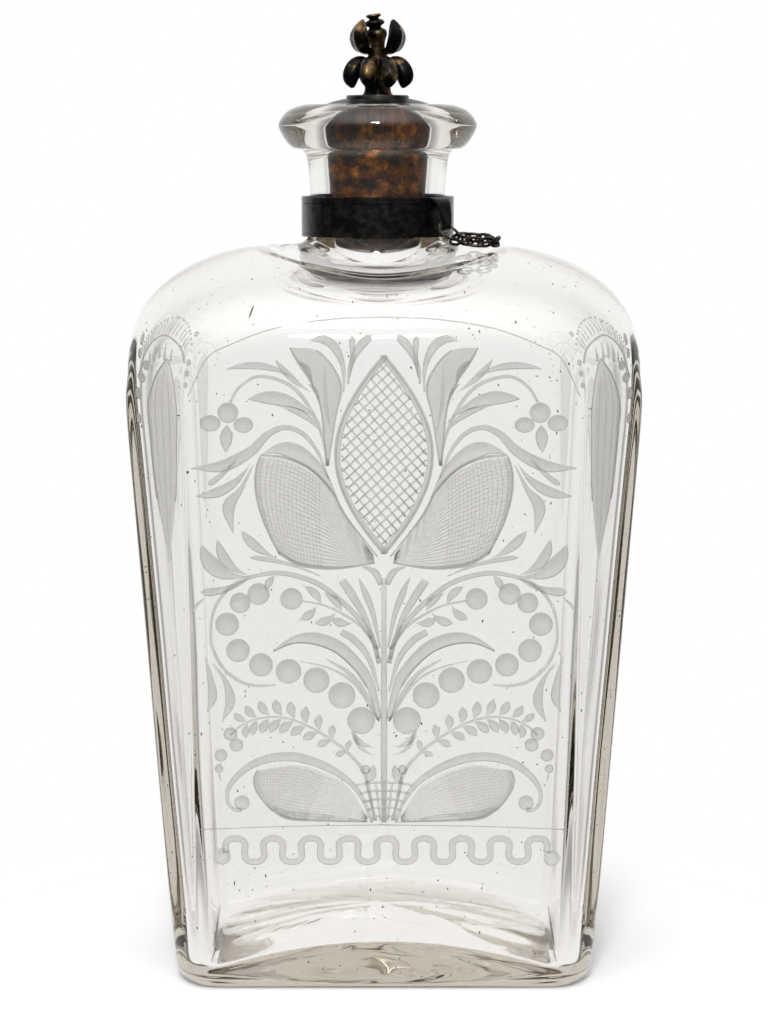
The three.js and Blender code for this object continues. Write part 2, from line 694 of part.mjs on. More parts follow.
const ringSlope = degToRad(RING_SLOPE_DEG);
const ringDown = new THREE.Vector3()
  .addScaledVector(lugOut, Math.cos(ringSlope))
  .addScaledVector(upward, -Math.sin(ringSlope));
const ringNormal = new THREE.Vector3().crossVectors(lugAlong, ringDown);
const ringMiddle = lugPoint(lugEye.r, lugEye.z, 0).addScaledVector(ringDown, RING_RADIUS - 0.2);

function buildRing() {
  const pointAt = (t) => {
    const turn = 2 * Math.PI * t;
    return ringMiddle
      .clone()
      .addScaledVector(ringDown, RING_RADIUS * Math.cos(turn))
      .addScaledVector(lugAlong, RING_RADIUS * Math.sin(turn));
  };
  addMesh(collar, 'lug_ring', wireLoop(pointAt, ringNormal, RING_WIRE, RING_STEPS), materials.chain);
}

// Height of the shoulder's outer face under a point given from the neck's axis.
function shoulderHeight(x, y) {
  const angle = Math.atan2(y, x);
  const reach = Math.hypot(x, y);
  let low = 0;
  let high = quarterTurn;
  for (let k = 0; k < 40; k++) {
    const turn = (low + high) / 2;
    const spread = Math.cos(turn) ** (2 / CROWN_CURVE);
    const level = SHOULDER_Z + SHOULDER_RISE * Math.sin(turn) ** (2 / CROWN_CURVE);
    const r = planRadius(shoulderPlan(spread, level, 0), angle);
    if (r > reach) low = turn;
    else high = turn;
  }
  const rise = Math.sin(low) ** (2 / CROWN_CURVE);
  const spread = Math.cos(low) ** (2 / CROWN_CURVE);
  return SHOULDER_Z + (SHOULDER_RISE - saddle(angle, spread)) * rise;
}

// The chain's lie on the shoulder: out from the ring to the right, round, and back behind itself.
function chainJoints() {
  const linkHeight = ((LINK_INNER_WIDTH + LINK_WIRE) / 2) * Math.sin(degToRad(LINK_ROLL_DEG)) + LINK_WIRE / 2;
  const lie = CHAIN_LIE.map((shares) => {
    const [x, y] = shares.map((share) => share * COLLAR_OUTER);
    return new THREE.Vector3(x, y, shoulderHeight(x, y) + linkHeight + CHAIN_LIFT);
  });
  const ringBottom = ringMiddle.clone().addScaledVector(ringDown, RING_RADIUS);
  const lead = lie[0].clone().sub(ringBottom).normalize();
  const start = ringBottom.addScaledVector(lead, -LINK_WIRE - LINK_SLACK / 2);
  const curve = new THREE.CatmullRomCurve3([start, ...lie]);
  const joints = [start];
  const samples = curve.getPoints(2000);
  for (const point of samples) {
    if (joints.length > LINK_COUNT) break;
    if (point.distanceTo(joints.at(-1)) >= LINK_PITCH) joints.push(point);
  }
  return joints;
}

// An oval link of round wire, along +X with its plane's normal along +Z.
function linkGeometry(along, normal, centre) {
  const radius = (LINK_INNER_WIDTH + LINK_WIRE) / 2;
  const straight = (LINK_INNER_LENGTH - LINK_INNER_WIDTH) / 2;
  const across = new THREE.Vector3().crossVectors(normal, along);
  const pointAt = (t) => {
    const turn = 2 * Math.PI * t;
    const shift = straight * clamp(3 * Math.cos(turn), -1, 1);
    return centre
      .clone()
      .addScaledVector(along, radius * Math.cos(turn) + shift)
      .addScaledVector(across, radius * Math.sin(turn));
  };
  return wireLoop(pointAt, normal, LINK_WIRE, LINK_STEPS);
}

function buildChain() {
  const joints = chainJoints();
  for (let k = 0; k < LINK_COUNT; k++) {
    const along = joints[k + 1].clone().sub(joints[k]).normalize();
    const level = new THREE.Vector3().crossVectors(upward, along).normalize();
    const roll = degToRad(k % 2 === 0 ? LINK_ROLL_DEG : -LINK_ROLL_DEG);
    const normal = new THREE.Vector3().crossVectors(along, level).applyAxisAngle(along, roll);
    if (k === 0) {
      normal.crossVectors(ringNormal, along).normalize().applyAxisAngle(along, degToRad(FIRST_LINK_ROLL_DEG));
    }
    const centre = joints[k].clone().lerp(joints[k + 1], 0.5);
    const name = `chain_link_${String(k + 1).padStart(2, '0')}`;
    addMesh(collar, name, linkGeometry(along, normal, centre), materials.chain);
  }
}

buildBottle();
buildCork();
buildShank();
buildCap();
buildStem();
buildLeaves();
buildBud();
buildBand();
buildLug();
buildRing();
buildChain();

export default decanter;
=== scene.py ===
import itertools
import math
import random

import bpy
import numpy as np
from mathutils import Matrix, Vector
from mathutils.bvhtree import BVHTree


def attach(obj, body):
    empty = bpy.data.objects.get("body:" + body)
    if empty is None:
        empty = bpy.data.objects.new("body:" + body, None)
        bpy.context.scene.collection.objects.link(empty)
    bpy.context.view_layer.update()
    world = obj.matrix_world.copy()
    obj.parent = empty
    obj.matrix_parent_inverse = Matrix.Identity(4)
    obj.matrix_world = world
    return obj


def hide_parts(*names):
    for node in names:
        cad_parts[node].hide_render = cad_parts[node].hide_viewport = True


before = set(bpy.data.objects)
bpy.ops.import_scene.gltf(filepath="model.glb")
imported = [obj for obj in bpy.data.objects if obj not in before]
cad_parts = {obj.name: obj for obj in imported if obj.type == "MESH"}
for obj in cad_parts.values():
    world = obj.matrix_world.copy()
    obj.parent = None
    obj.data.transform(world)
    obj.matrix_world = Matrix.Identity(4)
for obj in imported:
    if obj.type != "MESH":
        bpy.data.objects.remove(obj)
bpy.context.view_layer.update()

MM = 0.001
QUARTER = math.pi / 2

# Glass body, in millimetres
BASE_HALF_WIDTH = 52.1
BASE_HALF_DEPTH = 39
TOP_HALF_WIDTH = 64.35
TOP_HALF_DEPTH = 46
SHOULDER_Z = 151.5
SHOULDER_RISE = 32.2
BASE_CHAMFER_X, BASE_CHAMFER_Y = 6.2, 8
TOP_CHAMFER_X, TOP_CHAMFER_Y = 15.6, 16
EDGE_SHARPNESS = 200
INNER_SHARPNESS = 60
SHOULDER_SHARPNESS = 56
ARCH_RIM = 0.22
ARCH_RIM_WIDTH = 1.2
FOOT_SHARPNESS = 36
FOOT_SOFT_HEIGHT = 26
FOOT_RADIUS = 4.5
FOOT_RING = 6
PUNT_RISE = 6
PUNT_EDGE = 0.5
PUNT_REACH = 0.86
PUNT_WAVE = 0.22
WALL_BASE = 7
WALL_TOP = 4.6
FLOOR_CENTRE_Z = 15.4
FLOOR_CORNER_Z = 4
FLOOR_BEND = 4.5
FLOOR_FLAT = 0.96
CROWN_SADDLE = 3
CROWN_OVERHANG = 1.6
CROWN_CURVE = 2.45
CORNER_POWER = 5.6
CORNER_POWER_FADE = 0.8
SHOULDER_WALL = 4.2
FUNNEL_RADIUS = 28.5
FUNNEL_RIDGE = 0.5
FUNNEL_SOFTNESS = 1.7
SHOULDER_TAIL = 22
NECK_OFFSET_X = -1.6
NECK_SADDLE = 5
NECK_SADDLE_REACH = 7
NECK_RADIUS = 17.1
NECK_FLARE = 2.9
NECK_LENGTH = 22.5
NECK_WALL = 5.5
BORE_FLARE = 2.4
LIP_RADIUS = 25
LIP_HEIGHT = 12.5

# Stopper
CORK_GAP = 0.35
CORK_BELOW_CROWN = 1.9
CORK_BELOW_LIP = 1.2
CORK_EDGE = 0.7
CORK_WEAR = 0.004
CORK_PITS = 0.008
CAP_RADIUS = 14.1
CAP_RISE = 2.3
CAP_RIM = 0.7
BOSS_RADIUS = 7.9
BOSS_HEIGHT = 0.6
SHANK_RADIUS = 1.3
STEM_RADIUS = 3.9
STEM_HEIGHT = 7.4
CORE_RADIUS = 2.5
CORE_HEIGHT = 4.2
LEAF_EDGE = 0.8
LOWER_LEAF_REACH = 5
LOWER_LEAF_DROP = 6.4
LOWER_LEAF_WIDTH = 4.8
LOWER_LEAF_BELLY = 4.8
LOWER_LEAF_AZIMUTHS = [212, 252, 292, 332, 30, 90, 150]
UPPER_LEAF_RISE = 8.2
UPPER_LEAF_REACH = 3.5
UPPER_LEAF_WIDTH = 6.8
UPPER_LEAF_BELLY = 3.4
UPPER_LEAF_AZIMUTHS = [222, 320, 40, 140]
BUD_RADIUS = 2.7
BUD_HEIGHT = 7.9
BUD_TILT_DEG = 8

# Collar and chain
COLLAR_GAP = 1.3
COLLAR_SHEET = 0.9
COLLAR_HEIGHT = 10.1
COLLAR_ABOVE_CROWN = 1.9
COLLAR_BEVEL = 0.15
LUG_AZIMUTH = math.radians(-42)
LUG_SHEET = 0.8
LUG_TOP_WIDTH = 6.5
LUG_EYE_WIDTH = 2.8
LUG_EYE_RADIUS = 1.6
LUG_STAND_OFF = 2.9
RING_RADIUS = 3
RING_WIRE = 0.7
LINK_WIRE = 0.75
LINK_INNER_LENGTH = 3.1
LINK_INNER_WIDTH = 2
LINK_COUNT = 10
SEAT_GAP = 0.3
SEAT_LIFT = 0.02

# Levels that the sizes above give
CROWN_Z = SHOULDER_Z + SHOULDER_RISE
LIP_BOTTOM_Z = CROWN_Z + NECK_LENGTH
LIP_TOP_Z = LIP_BOTTOM_Z + LIP_HEIGHT
CORK_BOTTOM_Z = CROWN_Z - CORK_BELOW_CROWN
CORK_TOP_Z = LIP_TOP_Z - CORK_BELOW_LIP
CAP_Z = CORK_TOP_Z + SEAT_GAP
BOSS_Z = CAP_Z + CAP_RISE + SEAT_GAP
STEM_Z = BOSS_Z + BOSS_HEIGHT + SEAT_GAP
NECK_SHIFT = np.array([NECK_OFFSET_X, 0, 0])
LEAF_START = CORE_RADIUS + SEAT_GAP
LEAF_ROOT = STEM_Z + STEM_HEIGHT + 0.6
SHANK_HOLE_RADIUS = SHANK_RADIUS + SEAT_GAP
BORE_RADIUS = NECK_RADIUS - NECK_WALL
COLLAR_INNER = NECK_RADIUS + COLLAR_GAP
COLLAR_OUTER = COLLAR_INNER + COLLAR_SHEET
COLLAR_Z = CROWN_Z + COLLAR_ABOVE_CROWN

# Depth of the unevenness outside and inside, waves of turns or per mm with their phase, and mesh counts
SKIN = 0.1
INNER_SKIN = 0.35
RIPPLES = [(2, 0.031, 0.3), (3, 0.047, 1.9), (5, -0.038, 4.1), (7, 0.083, 2.2), (4, -0.105, 5.3)]
PUNT_RIPPLES = [(0.11, 0.8, 0), (-0.17, 1.5, 1), (0.33, 0.5, 2)]
CORK_RIPPLES = [(5, 0.9, 0), (9, -1.7, 1), (17, 2.9, 2)]
FRONT_STEPS = 48
CHAMFER_STEPS = 14
SIDE_STEPS = 32
SHOULDER_RINGS = 44
BODY_RINGS = 56


def lerp(a, b, t):
    return a + (b - a) * t


def clamp(t):
    return min(max(t, 0), 1)


def full_turn(steps):
    return np.linspace(0, 2 * math.pi, steps, endpoint=False)


def waves(a, b, rows):
    return sum(np.sin(n * a + k * b + phase) for n, k, phase in rows)


def spline(points, steps):
    """A smooth curve through the points, with the given number of steps between each two."""
    p = np.array(points, float)
    p = np.vstack([2 * p[0] - p[1], p, 2 * p[-1] - p[-2]])
    t = np.linspace(0, 1, steps, endpoint=False)[:, None]
    curve = []
    for a, b, c, d in zip(p[:-3], p[1:-2], p[2:-1], p[3:]):
        straight = 2 * b + (c - a) * t
        curve.append(0.5 * (straight + (2 * a - 5 * b + 4 * c - d) * t**2 + (3 * b - a - 3 * c + d) * t**3))
    return np.vstack([*curve, p[-2:-1]])


def unit(rows):
    """Vectors scaled to a length of 1, one in each row."""
    return rows / np.maximum(np.linalg.norm(rows, axis=-1, keepdims=True), 1e-9)


def heading(angle):
    return np.array([math.cos(angle), math.sin(angle)])


def point_at(curve, share):
    return curve[int(share * (len(curve) - 1))]


# Meshes


def ring_faces(first, second, count):
    return [(first + i, first + (i + 1) % count, second + (i + 1) % count, second + i) for i in range(count)]


def ring(r, angle, z, shift=0):
    """Points at a radius and height round an axis that is shifted along x."""
    return np.stack(np.broadcast_arrays(r * np.cos(angle) + shift, r * np.sin(angle), z), 1)


def loft(rings, closed=False, caps=True):
    """Points and faces of rings in a row, with a flat cap at each end, or in a loop."""
    count = len(rings[0])
    points = np.vstack(rings)
    faces = []
    for k in range(len(rings) - 1):
        faces += ring_faces(k * count, (k + 1) * count, count)
    if closed:
        faces += ring_faces((len(rings) - 1) * count, 0, count)
    elif caps:
        last = (len(rings) - 1) * count
        faces.append(tuple(range(count - 1, -1, -1)))
        faces.append(tuple(range(last, last + count)))
    return points, faces


def signed_volume(mesh):
    mesh.calc_loop_triangles()
    co = np.zeros(len(mesh.vertices) * 3)
    mesh.vertices.foreach_get("co", co)
    tri = np.zeros(len(mesh.loop_triangles) * 3, int)
    mesh.loop_triangles.foreach_get("vertices", tri)
    a, b, c = co.reshape(-1, 3)[tri.reshape(-1, 3)].transpose(1, 0, 2)
    return float((a * np.cross(b, c)).sum())


def in_scene(name, data):
    obj = bpy.data.objects.new(name, data)
    bpy.context.scene.collection.objects.link(obj)
    return obj


def piece(name, geometry, material, body, node=None, sharp_deg=None):
    points, faces = geometry
    mesh = bpy.data.meshes.new(name)
    mesh.from_pydata((np.asarray(points) * MM).tolist(), [], faces)
    mesh.validate()
    mesh.polygons.foreach_set("use_smooth", [True] * len(mesh.polygons))
    if sharp_deg:
        mesh.set_sharp_from_angle(angle=math.radians(sharp_deg))
    mesh.materials.append(material)
    obj = in_scene(name, mesh)
    if signed_volume(mesh) < 0:
        mesh.flip_normals()
    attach(obj, body)
    if node:
        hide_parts(node)
    return obj


def even(angle, z):
    return 1


def turned(profile, steps=96, wobble=even):
    """A ring-shaped turned piece: a closed profile of radius and height round the stopper's axis."""
    r, z = np.array(profile, float).T
    return loft([ring(r * wobble(a, z), a, z, NECK_OFFSET_X) for a in full_turn(steps)], closed=True)


# Glass


def body_sizes(z):
    """Half the width, half the depth, the chamfer across and back, and the wall, at a level."""
    base = BASE_HALF_WIDTH, BASE_HALF_DEPTH, BASE_CHAMFER_X, BASE_CHAMFER_Y, WALL_BASE
    top = TOP_HALF_WIDTH, TOP_HALF_DEPTH, TOP_CHAMFER_X, TOP_CHAMFER_Y, WALL_TOP
    return [lerp(a, b, z / SHOULDER_Z) for a, b in zip(base, top)]


def soft_min(radii, power):
    least = np.minimum.reduce(radii)
    return least * sum((r / least) ** -power for r in radii) ** (-1 / power)


def panel_radius(angle, z, inset):
    t = min(z / FOOT_SOFT_HEIGHT, 1)
    sharp = EDGE_SHARPNESS if inset < FOOT_RADIUS else INNER_SHARPNESS
    return soft_min(face_radii(angle, z, inset), lerp(FOOT_SHARPNESS, sharp, t**2))


def under_shoulder(angle, panels, spread, z, inset):
    """The radius where the shoulder meets the panels, with a faint rim along the panels' arched tops."""
    dome = shoulder_plan(angle, spread, z, inset)
    rim = ARCH_RIM * np.exp(-(((panels - dome) / ARCH_RIM_WIDTH) ** 2)) * np.sin(angle) ** 4
    return soft_min([panels, dome], SHOULDER_SHARPNESS) + rim


def face_radii(angle, z, inset):
    width, depth, cx, cy, _ = body_sizes(z)
    c, s = np.maximum(np.abs(np.cos(angle)), 1e-6), np.maximum(np.abs(np.sin(angle)), 1e-6)
    slant = math.hypot(cx, cy)
    canted = (cy * (width - cx) + cx * depth) / slant - inset
    return [(width - inset) / c, (depth - inset) / s, canted * slant / (cy * c + cx * s)]


def shoulder_plan(angle, spread, z, inset):
    neck = NECK_RADIUS + NECK_FLARE - inset
    squaring = clamp((CROWN_Z - z) / SHOULDER_RISE) ** CORNER_POWER_FADE
    tail = max(SHOULDER_Z - z, 0) / SHOULDER_TAIL
    x = lerp(neck, TOP_HALF_WIDTH - inset, spread) * (1 + tail / 10)
    y = lerp(neck, TOP_HALF_DEPTH + CROWN_OVERHANG - inset, spread) * (1 + tail / 10)
    power = lerp(2, CORNER_POWER, squaring) + tail * CORNER_POWER
    return ((np.abs(np.cos(angle)) / x) ** power + (np.abs(np.sin(angle)) / y) ** power) ** (-1 / power)


def column_angles(z):
    width, depth, cx, cy, _ = body_sizes(min(max(z, 0), SHOULDER_Z))
    corners = [(width, 0), (width, depth - cy), (width - cx, depth), (0, depth)]
    quarter = []
    for k, steps in enumerate([SIDE_STEPS // 2, CHAMFER_STEPS, FRONT_STEPS // 2]):
        u = np.arange(steps) / steps
        # Columns crowd towards the panels' edges.
        u = [np.sin(u * QUARTER), 0.5 - 0.5 * np.cos(math.pi * u), 1 - np.cos(u * QUARTER)][k]
        a, b = np.array(corners[k]), np.array(corners[k + 1])
        p = a + (b - a) * u[:, None]
        quarter += list(np.arctan2(p[:, 1], p[:, 0]))
    quarter = np.array(quarter)
    half = np.concatenate([quarter, [QUARTER], math.pi - quarter[:0:-1]])
    return np.concatenate([half, half + math.pi])


def ripple(angle, z, size):
    """The slight unevenness of blown glass."""
    return size * waves(angle, z, RIPPLES) / len(RIPPLES)


def body_ring(z, inset, uneven=0):
    angle = column_angles(z)
    r = panel_radius(angle, z, inset)
    if z > SHOULDER_Z - SHOULDER_TAIL:
        r = under_shoulder(angle, r, 1, z, inset)
    return ring(r + ripple(angle, z, uneven), angle, z)


def shoulder_ring(turn, inset, drop, uneven=0):
    spread = math.cos(turn) ** (2 / CROWN_CURVE)
    rise = math.sin(turn) ** (2 / CROWN_CURVE)
    level = SHOULDER_Z + SHOULDER_RISE * rise
    angle = column_angles(SHOULDER_Z)
    r = under_shoulder(angle, panel_radius(angle, level, inset), spread, level, inset)
    r = r + ripple(angle, level, uneven)
    saddle = (CROWN_SADDLE * spread**1.2 + NECK_SADDLE * (1 - spread)) * np.sin(angle) ** 2
    if drop:
        # The rim of the funnel under the neck
        drop = drop + FUNNEL_RIDGE * np.exp(-(((r - FUNNEL_RADIUS) / FUNNEL_SOFTNESS) ** 2))
    return ring(r, angle, level - (saddle + drop) * rise, NECK_OFFSET_X * (1 - spread) ** 3)


def neck_ring(r, z):
    angle = column_angles(SHOULDER_Z)
    share = clamp(1 - (z - CROWN_Z) / NECK_SADDLE_REACH)
    sag = NECK_SADDLE * share**2 * np.sin(angle) ** 2
    return ring(r, angle, z - sag, NECK_OFFSET_X)


def bore_radius(z):
    return BORE_RADIUS + BORE_FLARE * (z - CROWN_Z) / (LIP_TOP_Z - CROWN_Z)


def neck_profile():
    """Radius and height from the foot of the neck over the lip to the mouth."""
    flare = NECK_RADIUS + NECK_FLARE
    mouth = bore_radius(LIP_TOP_Z)
    root = [(flare - 0.5, 0.2), (lerp(NECK_RADIUS, flare, 0.45), 0.9), (lerp(NECK_RADIUS, flare, 0.16), 2.2)]
    root += [(NECK_RADIUS, 0.25 * NECK_LENGTH), (NECK_RADIUS, 0.6 * NECK_LENGTH)]
    lip = [
        (NECK_RADIUS + 1.1, 0), (lerp(NECK_RADIUS, LIP_RADIUS, 0.58), 0.13), (LIP_RADIUS - 0.6, 0.42),
        (LIP_RADIUS, 0.63), (lerp(mouth, LIP_RADIUS, 0.78), 0.88), (lerp(mouth, LIP_RADIUS, 0.4), 1),
        (mouth + 0.9, 0.93), (mouth - 0.1, 0.78),
    ]
    profile = [(r, CROWN_Z + z) for r, z in root]
    return spline(profile + [(r, LIP_BOTTOM_Z + z * LIP_HEIGHT) for r, z in lip], 5)


def bore_profile():
    opening = NECK_RADIUS + NECK_FLARE - SHOULDER_WALL
    funnel = [(0.15, 0.45), (0.6, 0.85)]
    profile = [(bore_radius(z), z) for z in lerp(CROWN_Z, LIP_BOTTOM_Z, np.array([0.9, 0.6, 0.3, 0]))]
    profile += [(lerp(BORE_RADIUS, opening, t), CROWN_Z - drop * SHOULDER_WALL) for t, drop in funnel]
    return spline(profile, 4)


def floor_rings():
    """The inside from the wall round the corner to the raised middle of the floor."""
    corner = math.hypot(BASE_HALF_WIDTH - BASE_CHAMFER_X, BASE_HALF_DEPTH) - WALL_BASE
    edge = body_ring(FLOOR_CENTRE_Z, WALL_BASE)
    reach = np.hypot(edge[:, 0], edge[:, 1])

    def level(share):
        return lerp(FLOOR_CENTRE_Z, FLOOR_CORNER_Z, (share * reach / corner) ** 2)

    def at(share):
        return np.stack([edge[:, 0] * share, edge[:, 1] * share, level(share)], 1)

    wall = edge.copy()
    wall[:, 2] = level(1) + FLOOR_BEND
    rings = []
    for t in np.linspace(0.1, 1, 10):
        rings.append((1 - t) ** 2 * wall + 2 * t * (1 - t) * at(1) + t**2 * at(FLOOR_FLAT))
    return rings + [at(share) for share in (0.88, 0.82, 0.74, 0.62, 0.5, 0.38, 0.26, 0.14, 0.05)]


def wall_inset(z):
    """The wall's thickness, which grows softly from the body into the shoulder."""
    t = clamp((z - SHOULDER_Z + SHOULDER_TAIL) / (SHOULDER_RISE + SHOULDER_TAIL))
    return lerp(body_sizes(min(z, SHOULDER_Z))[4], SHOULDER_WALL, t * t * (3 - 2 * t))


def glass_geometry():
    outer = []
    rim = body_ring(0, FOOT_RADIUS)
    reach = np.hypot(rim[:, 0], rim[:, 1])[:, None]
    for share in (0.03, 0.1, 0.2, 0.3, 0.4, 0.5, 0.6, 0.7, 0.8, 0.88, 0.94, 0.98, 1):
        under = rim * (share * (reach - FOOT_RING) / reach)
        x, y = under[:, 0], under[:, 1]
        dome = np.maximum(1 - (np.hypot(x / BASE_HALF_WIDTH, y / BASE_HALF_DEPTH) / PUNT_REACH) ** 2, 0) ** 2
        wave = PUNT_WAVE * (len(PUNT_RIPPLES) + waves(x, y, PUNT_RIPPLES))
        under[:, 2] = (PUNT_RISE - PUNT_EDGE) * dome + (PUNT_EDGE + wave) * (1 - share**2)
        outer.append(under)
    for turn in np.linspace(0, QUARTER, 10):
        outer.append(body_ring(FOOT_RADIUS * (1 - math.cos(turn)), FOOT_RADIUS * (1 - math.sin(turn))))
    for z in np.linspace(FOOT_RADIUS, SHOULDER_Z, BODY_RINGS + 1)[1:-1]:
        outer.append(body_ring(z, SKIN, SKIN))
    turns = (np.arange(SHOULDER_RINGS) + 0.5) / SHOULDER_RINGS * QUARTER
    outer += [shoulder_ring(turn, SKIN, 0, SKIN) for turn in turns]
    outer += [neck_ring(r, z) for r, z in neck_profile()]
    inner = [neck_ring(r, z) for r, z in bore_profile()]
    for turn in turns[::-1]:
        inset = wall_inset(SHOULDER_Z + SHOULDER_RISE * math.sin(turn) ** (2 / CROWN_CURVE))
        inner.append(shoulder_ring(turn, inset, SHOULDER_WALL, INNER_SKIN))
    for z in np.linspace(SHOULDER_Z, FLOOR_CENTRE_Z + FLOOR_BEND, BODY_RINGS + 1)[1:]:
        inner.append(body_ring(z, wall_inset(z), INNER_SKIN))
    inner += floor_rings()
    return loft(outer + inner)


# Materials


def feed(tree, target, *inputs, **values):
    """Gives a node its inputs, in order or by name: plain values, or nodes and outputs to link."""
    named = [(target.inputs[key.replace("_", " ")], value) for key, value in values.items()]
    for socket, value in [*zip(target.inputs, inputs), *named]:
        if isinstance(value, bpy.types.Node):
            value = value.outputs[0]
        if isinstance(value, bpy.types.NodeSocket):
            tree.links.new(value, socket)
        else:
            socket.default_value = value


def node(tree, kind, *inputs, **values):
    """A new node with its own settings by name, and its inputs as feed takes them."""
    made = tree.nodes.new("ShaderNode" + kind)
    for key in [key for key in values if hasattr(made, key)]:
        setattr(made, key, values.pop(key))
    feed(tree, made, *inputs, **values)
    return made


def object_coords(tree):
    return node(tree, "TexCoord").outputs["Object"]


def ramp(tree, factor, *stops):
    """A colour ramp with its stops of position and colour in order."""
    made = node(tree, "ValToRGB", factor)
    elements = made.color_ramp.elements
    for element, (position, colour) in zip(elements, (stops[0], stops[-1])):
        element.position = position
        element.color = (*colour, 1)
    for position, colour in stops[1:-1]:
        elements.new(position).color = (*colour, 1)
    return made


def multiplied(tree, first, second):
    """The product of two colours."""
    mix = node(tree, "Mix", data_type="RGBA", blend_type="MULTIPLY", Factor=1)
    tree.links.new(first.outputs[0], mix.inputs[6])
    tree.links.new(second.outputs[0], mix.inputs[7])
    return mix.outputs[2]


def new_material(name):
    material = bpy.data.materials.new(name)
    material.use_nodes = True
    tree = material.node_tree
    return material, tree, tree.nodes["Principled BSDF"]


def glass_material():
    material, tree, shader = new_material("clear_glass")
    feed(tree, shader, Base_Color=(1, 1, 1, 1), Roughness=0, IOR=1.5, Transmission_Weight=1)
    absorb = node(tree, "VolumeAbsorption", Color=(0.77, 0.735, 0.67, 1), Density=32)
    feed(tree, tree.nodes["Material Output"], Volume=absorb)
    return material


def metal_material(name, dark, worn, roughness, scale, wear=(0.42, 0.72)):
    material, tree, shader = new_material(name)
    noise = node(tree, "TexNoise", Vector=object_coords(tree), Scale=scale, Detail=6)
    colour = ramp(tree, noise, (wear[0], dark), (wear[1], worn))
    bump = node(tree, "Bump", Strength=0.25, Distance=0.0004, Height=noise)
    feed(tree, shader, Base_Color=colour, Normal=bump, Metallic=0.9, Roughness=roughness)
    return material


def cork_material():
    material, tree, shader = new_material("old_cork")
    coords = object_coords(tree)
    patches = node(tree, "TexNoise", Vector=coords, Scale=170, Detail=8, Roughness=0.7)
    grains = node(tree, "TexVoronoi", Vector=coords, Scale=800)
    browns = [(0.34, (0.004, 0.003, 0.002)), (0.47, (0.03, 0.011, 0.002))]
    browns += [(0.57, (0.19, 0.058, 0.005)), (0.72, (0.75, 0.29, 0.03))]
    # Voronoi specks up to nine times lighter than the cork round them
    bright_specks = ramp(tree, grains.outputs["Distance"], (0.05, (9, 8.5, 8)), (0.11, (1, 1, 1)))
    bump = node(tree, "Bump", Strength=0.6, Distance=0.0005, Height=patches)
    colour = multiplied(tree, ramp(tree, patches, *browns), bright_specks)
    feed(tree, shader, Base_Color=colour, Normal=bump, Roughness=0.75)
    return material


def frost_material(name, alpha):
    """Wheel-cut glass: a matt grey skin, with the tone of each cut in the mesh, which carries painted shade
    on the cuts' walls and painted light on their undersides.
    """
    material, tree, shader = new_material(name)
    tone = node(tree, "Attribute", attribute_name="tone")
    grain = node(tree, "TexNoise", Vector=object_coords(tree), Scale=1500, Detail=4)
    greys = ramp(tree, grain, (0.3, (0.61, 0.6, 0.575)), (0.7, (0.695, 0.685, 0.66)))
    feed(tree, shader, Base_Color=multiplied(tree, greys, tone), Roughness=0.6, Alpha=alpha)
    feed(tree, shader, Specular_IOR_Level=0.2, Transmission_Weight=0.35)
    return material


def seed_material():
    material, tree, shader = new_material("dark_seeds")
    noise = node(tree, "TexNoise", Vector=object_coords(tree), Scale=90)
    colour = ramp(tree, noise, (0, (0.02, 0.018, 0.016)), (1, (0.16, 0.14, 0.12)))
    feed(tree, shader, Base_Color=colour, Roughness=0.7)
    return material


GLASS = glass_material()
CORK = cork_material()
CAP_METAL = metal_material("dark_cap_metal", (0.02, 0.019, 0.018), (0.1, 0.095, 0.088), 0.4, 260)
FINIAL_METAL = metal_material(
    "browned_metal", (0.007, 0.006, 0.005), (0.32, 0.19, 0.085), 0.34, 260, (0.5, 0.78))
COLLAR_METAL = metal_material("blackened_band", (0.012, 0.011, 0.01), (0.055, 0.05, 0.045), 0.26, 420)
CHAIN_METAL = metal_material("chain_metal", (0.012, 0.01, 0.009), (0.09, 0.07, 0.05), 0.36, 420)
FRONT_FROST = frost_material("wheel_cut_front", 0.82)
BACK_FROST = frost_material("wheel_cut_back", 0.12)

bottle = piece("glass_bottle_body", glass_geometry(), GLASS, "bottle", "glass_bottle")

# Engraving: shallow cuts drawn on the panels in millimetres, u to the left of the axis and v above the base

CUT_TOP = 0.07
SHEET_TOP = 0.05
CUT_BOTTOM = 0.015
CUT_EDGE = 0.3
RAISED = 0.02
# Tone of the walls and rims of each cut: painted shade of the cut's relief
PAINTED_WALL_SHADE = 0.8
# Tone of the cuts' undersides: painted light, so that cuts seen from behind look lit through the frost
PAINTED_BACKLIGHT_TONE = 1.42
RAY_START = 80
ONCE = (1,)
MIRRORED = (1, -1)
surface = BVHTree.FromPolygons(
    [v.co for v in bottle.data.vertices], [tuple(p.vertices) for p in bottle.data.polygons]
)


def bent(base, tip, bend, steps):
    """Shares along a line from base to tip, and its points, which bend to one side."""
    base, along = np.array(base, float), np.subtract(tip, base)
    t = np.linspace(0, 1, steps)
    return t, base + np.outer(t, along) + np.outer(4 * bend * t * (1 - t), [-along[1], along[0]])


def sampled(curve, shares):
    """Points of a curve at shares of the way through its own points."""
    own = np.linspace(0, 1, len(curve))
    return np.stack([np.interp(shares, own, curve[:, k]) for k in (0, 1)], 1)


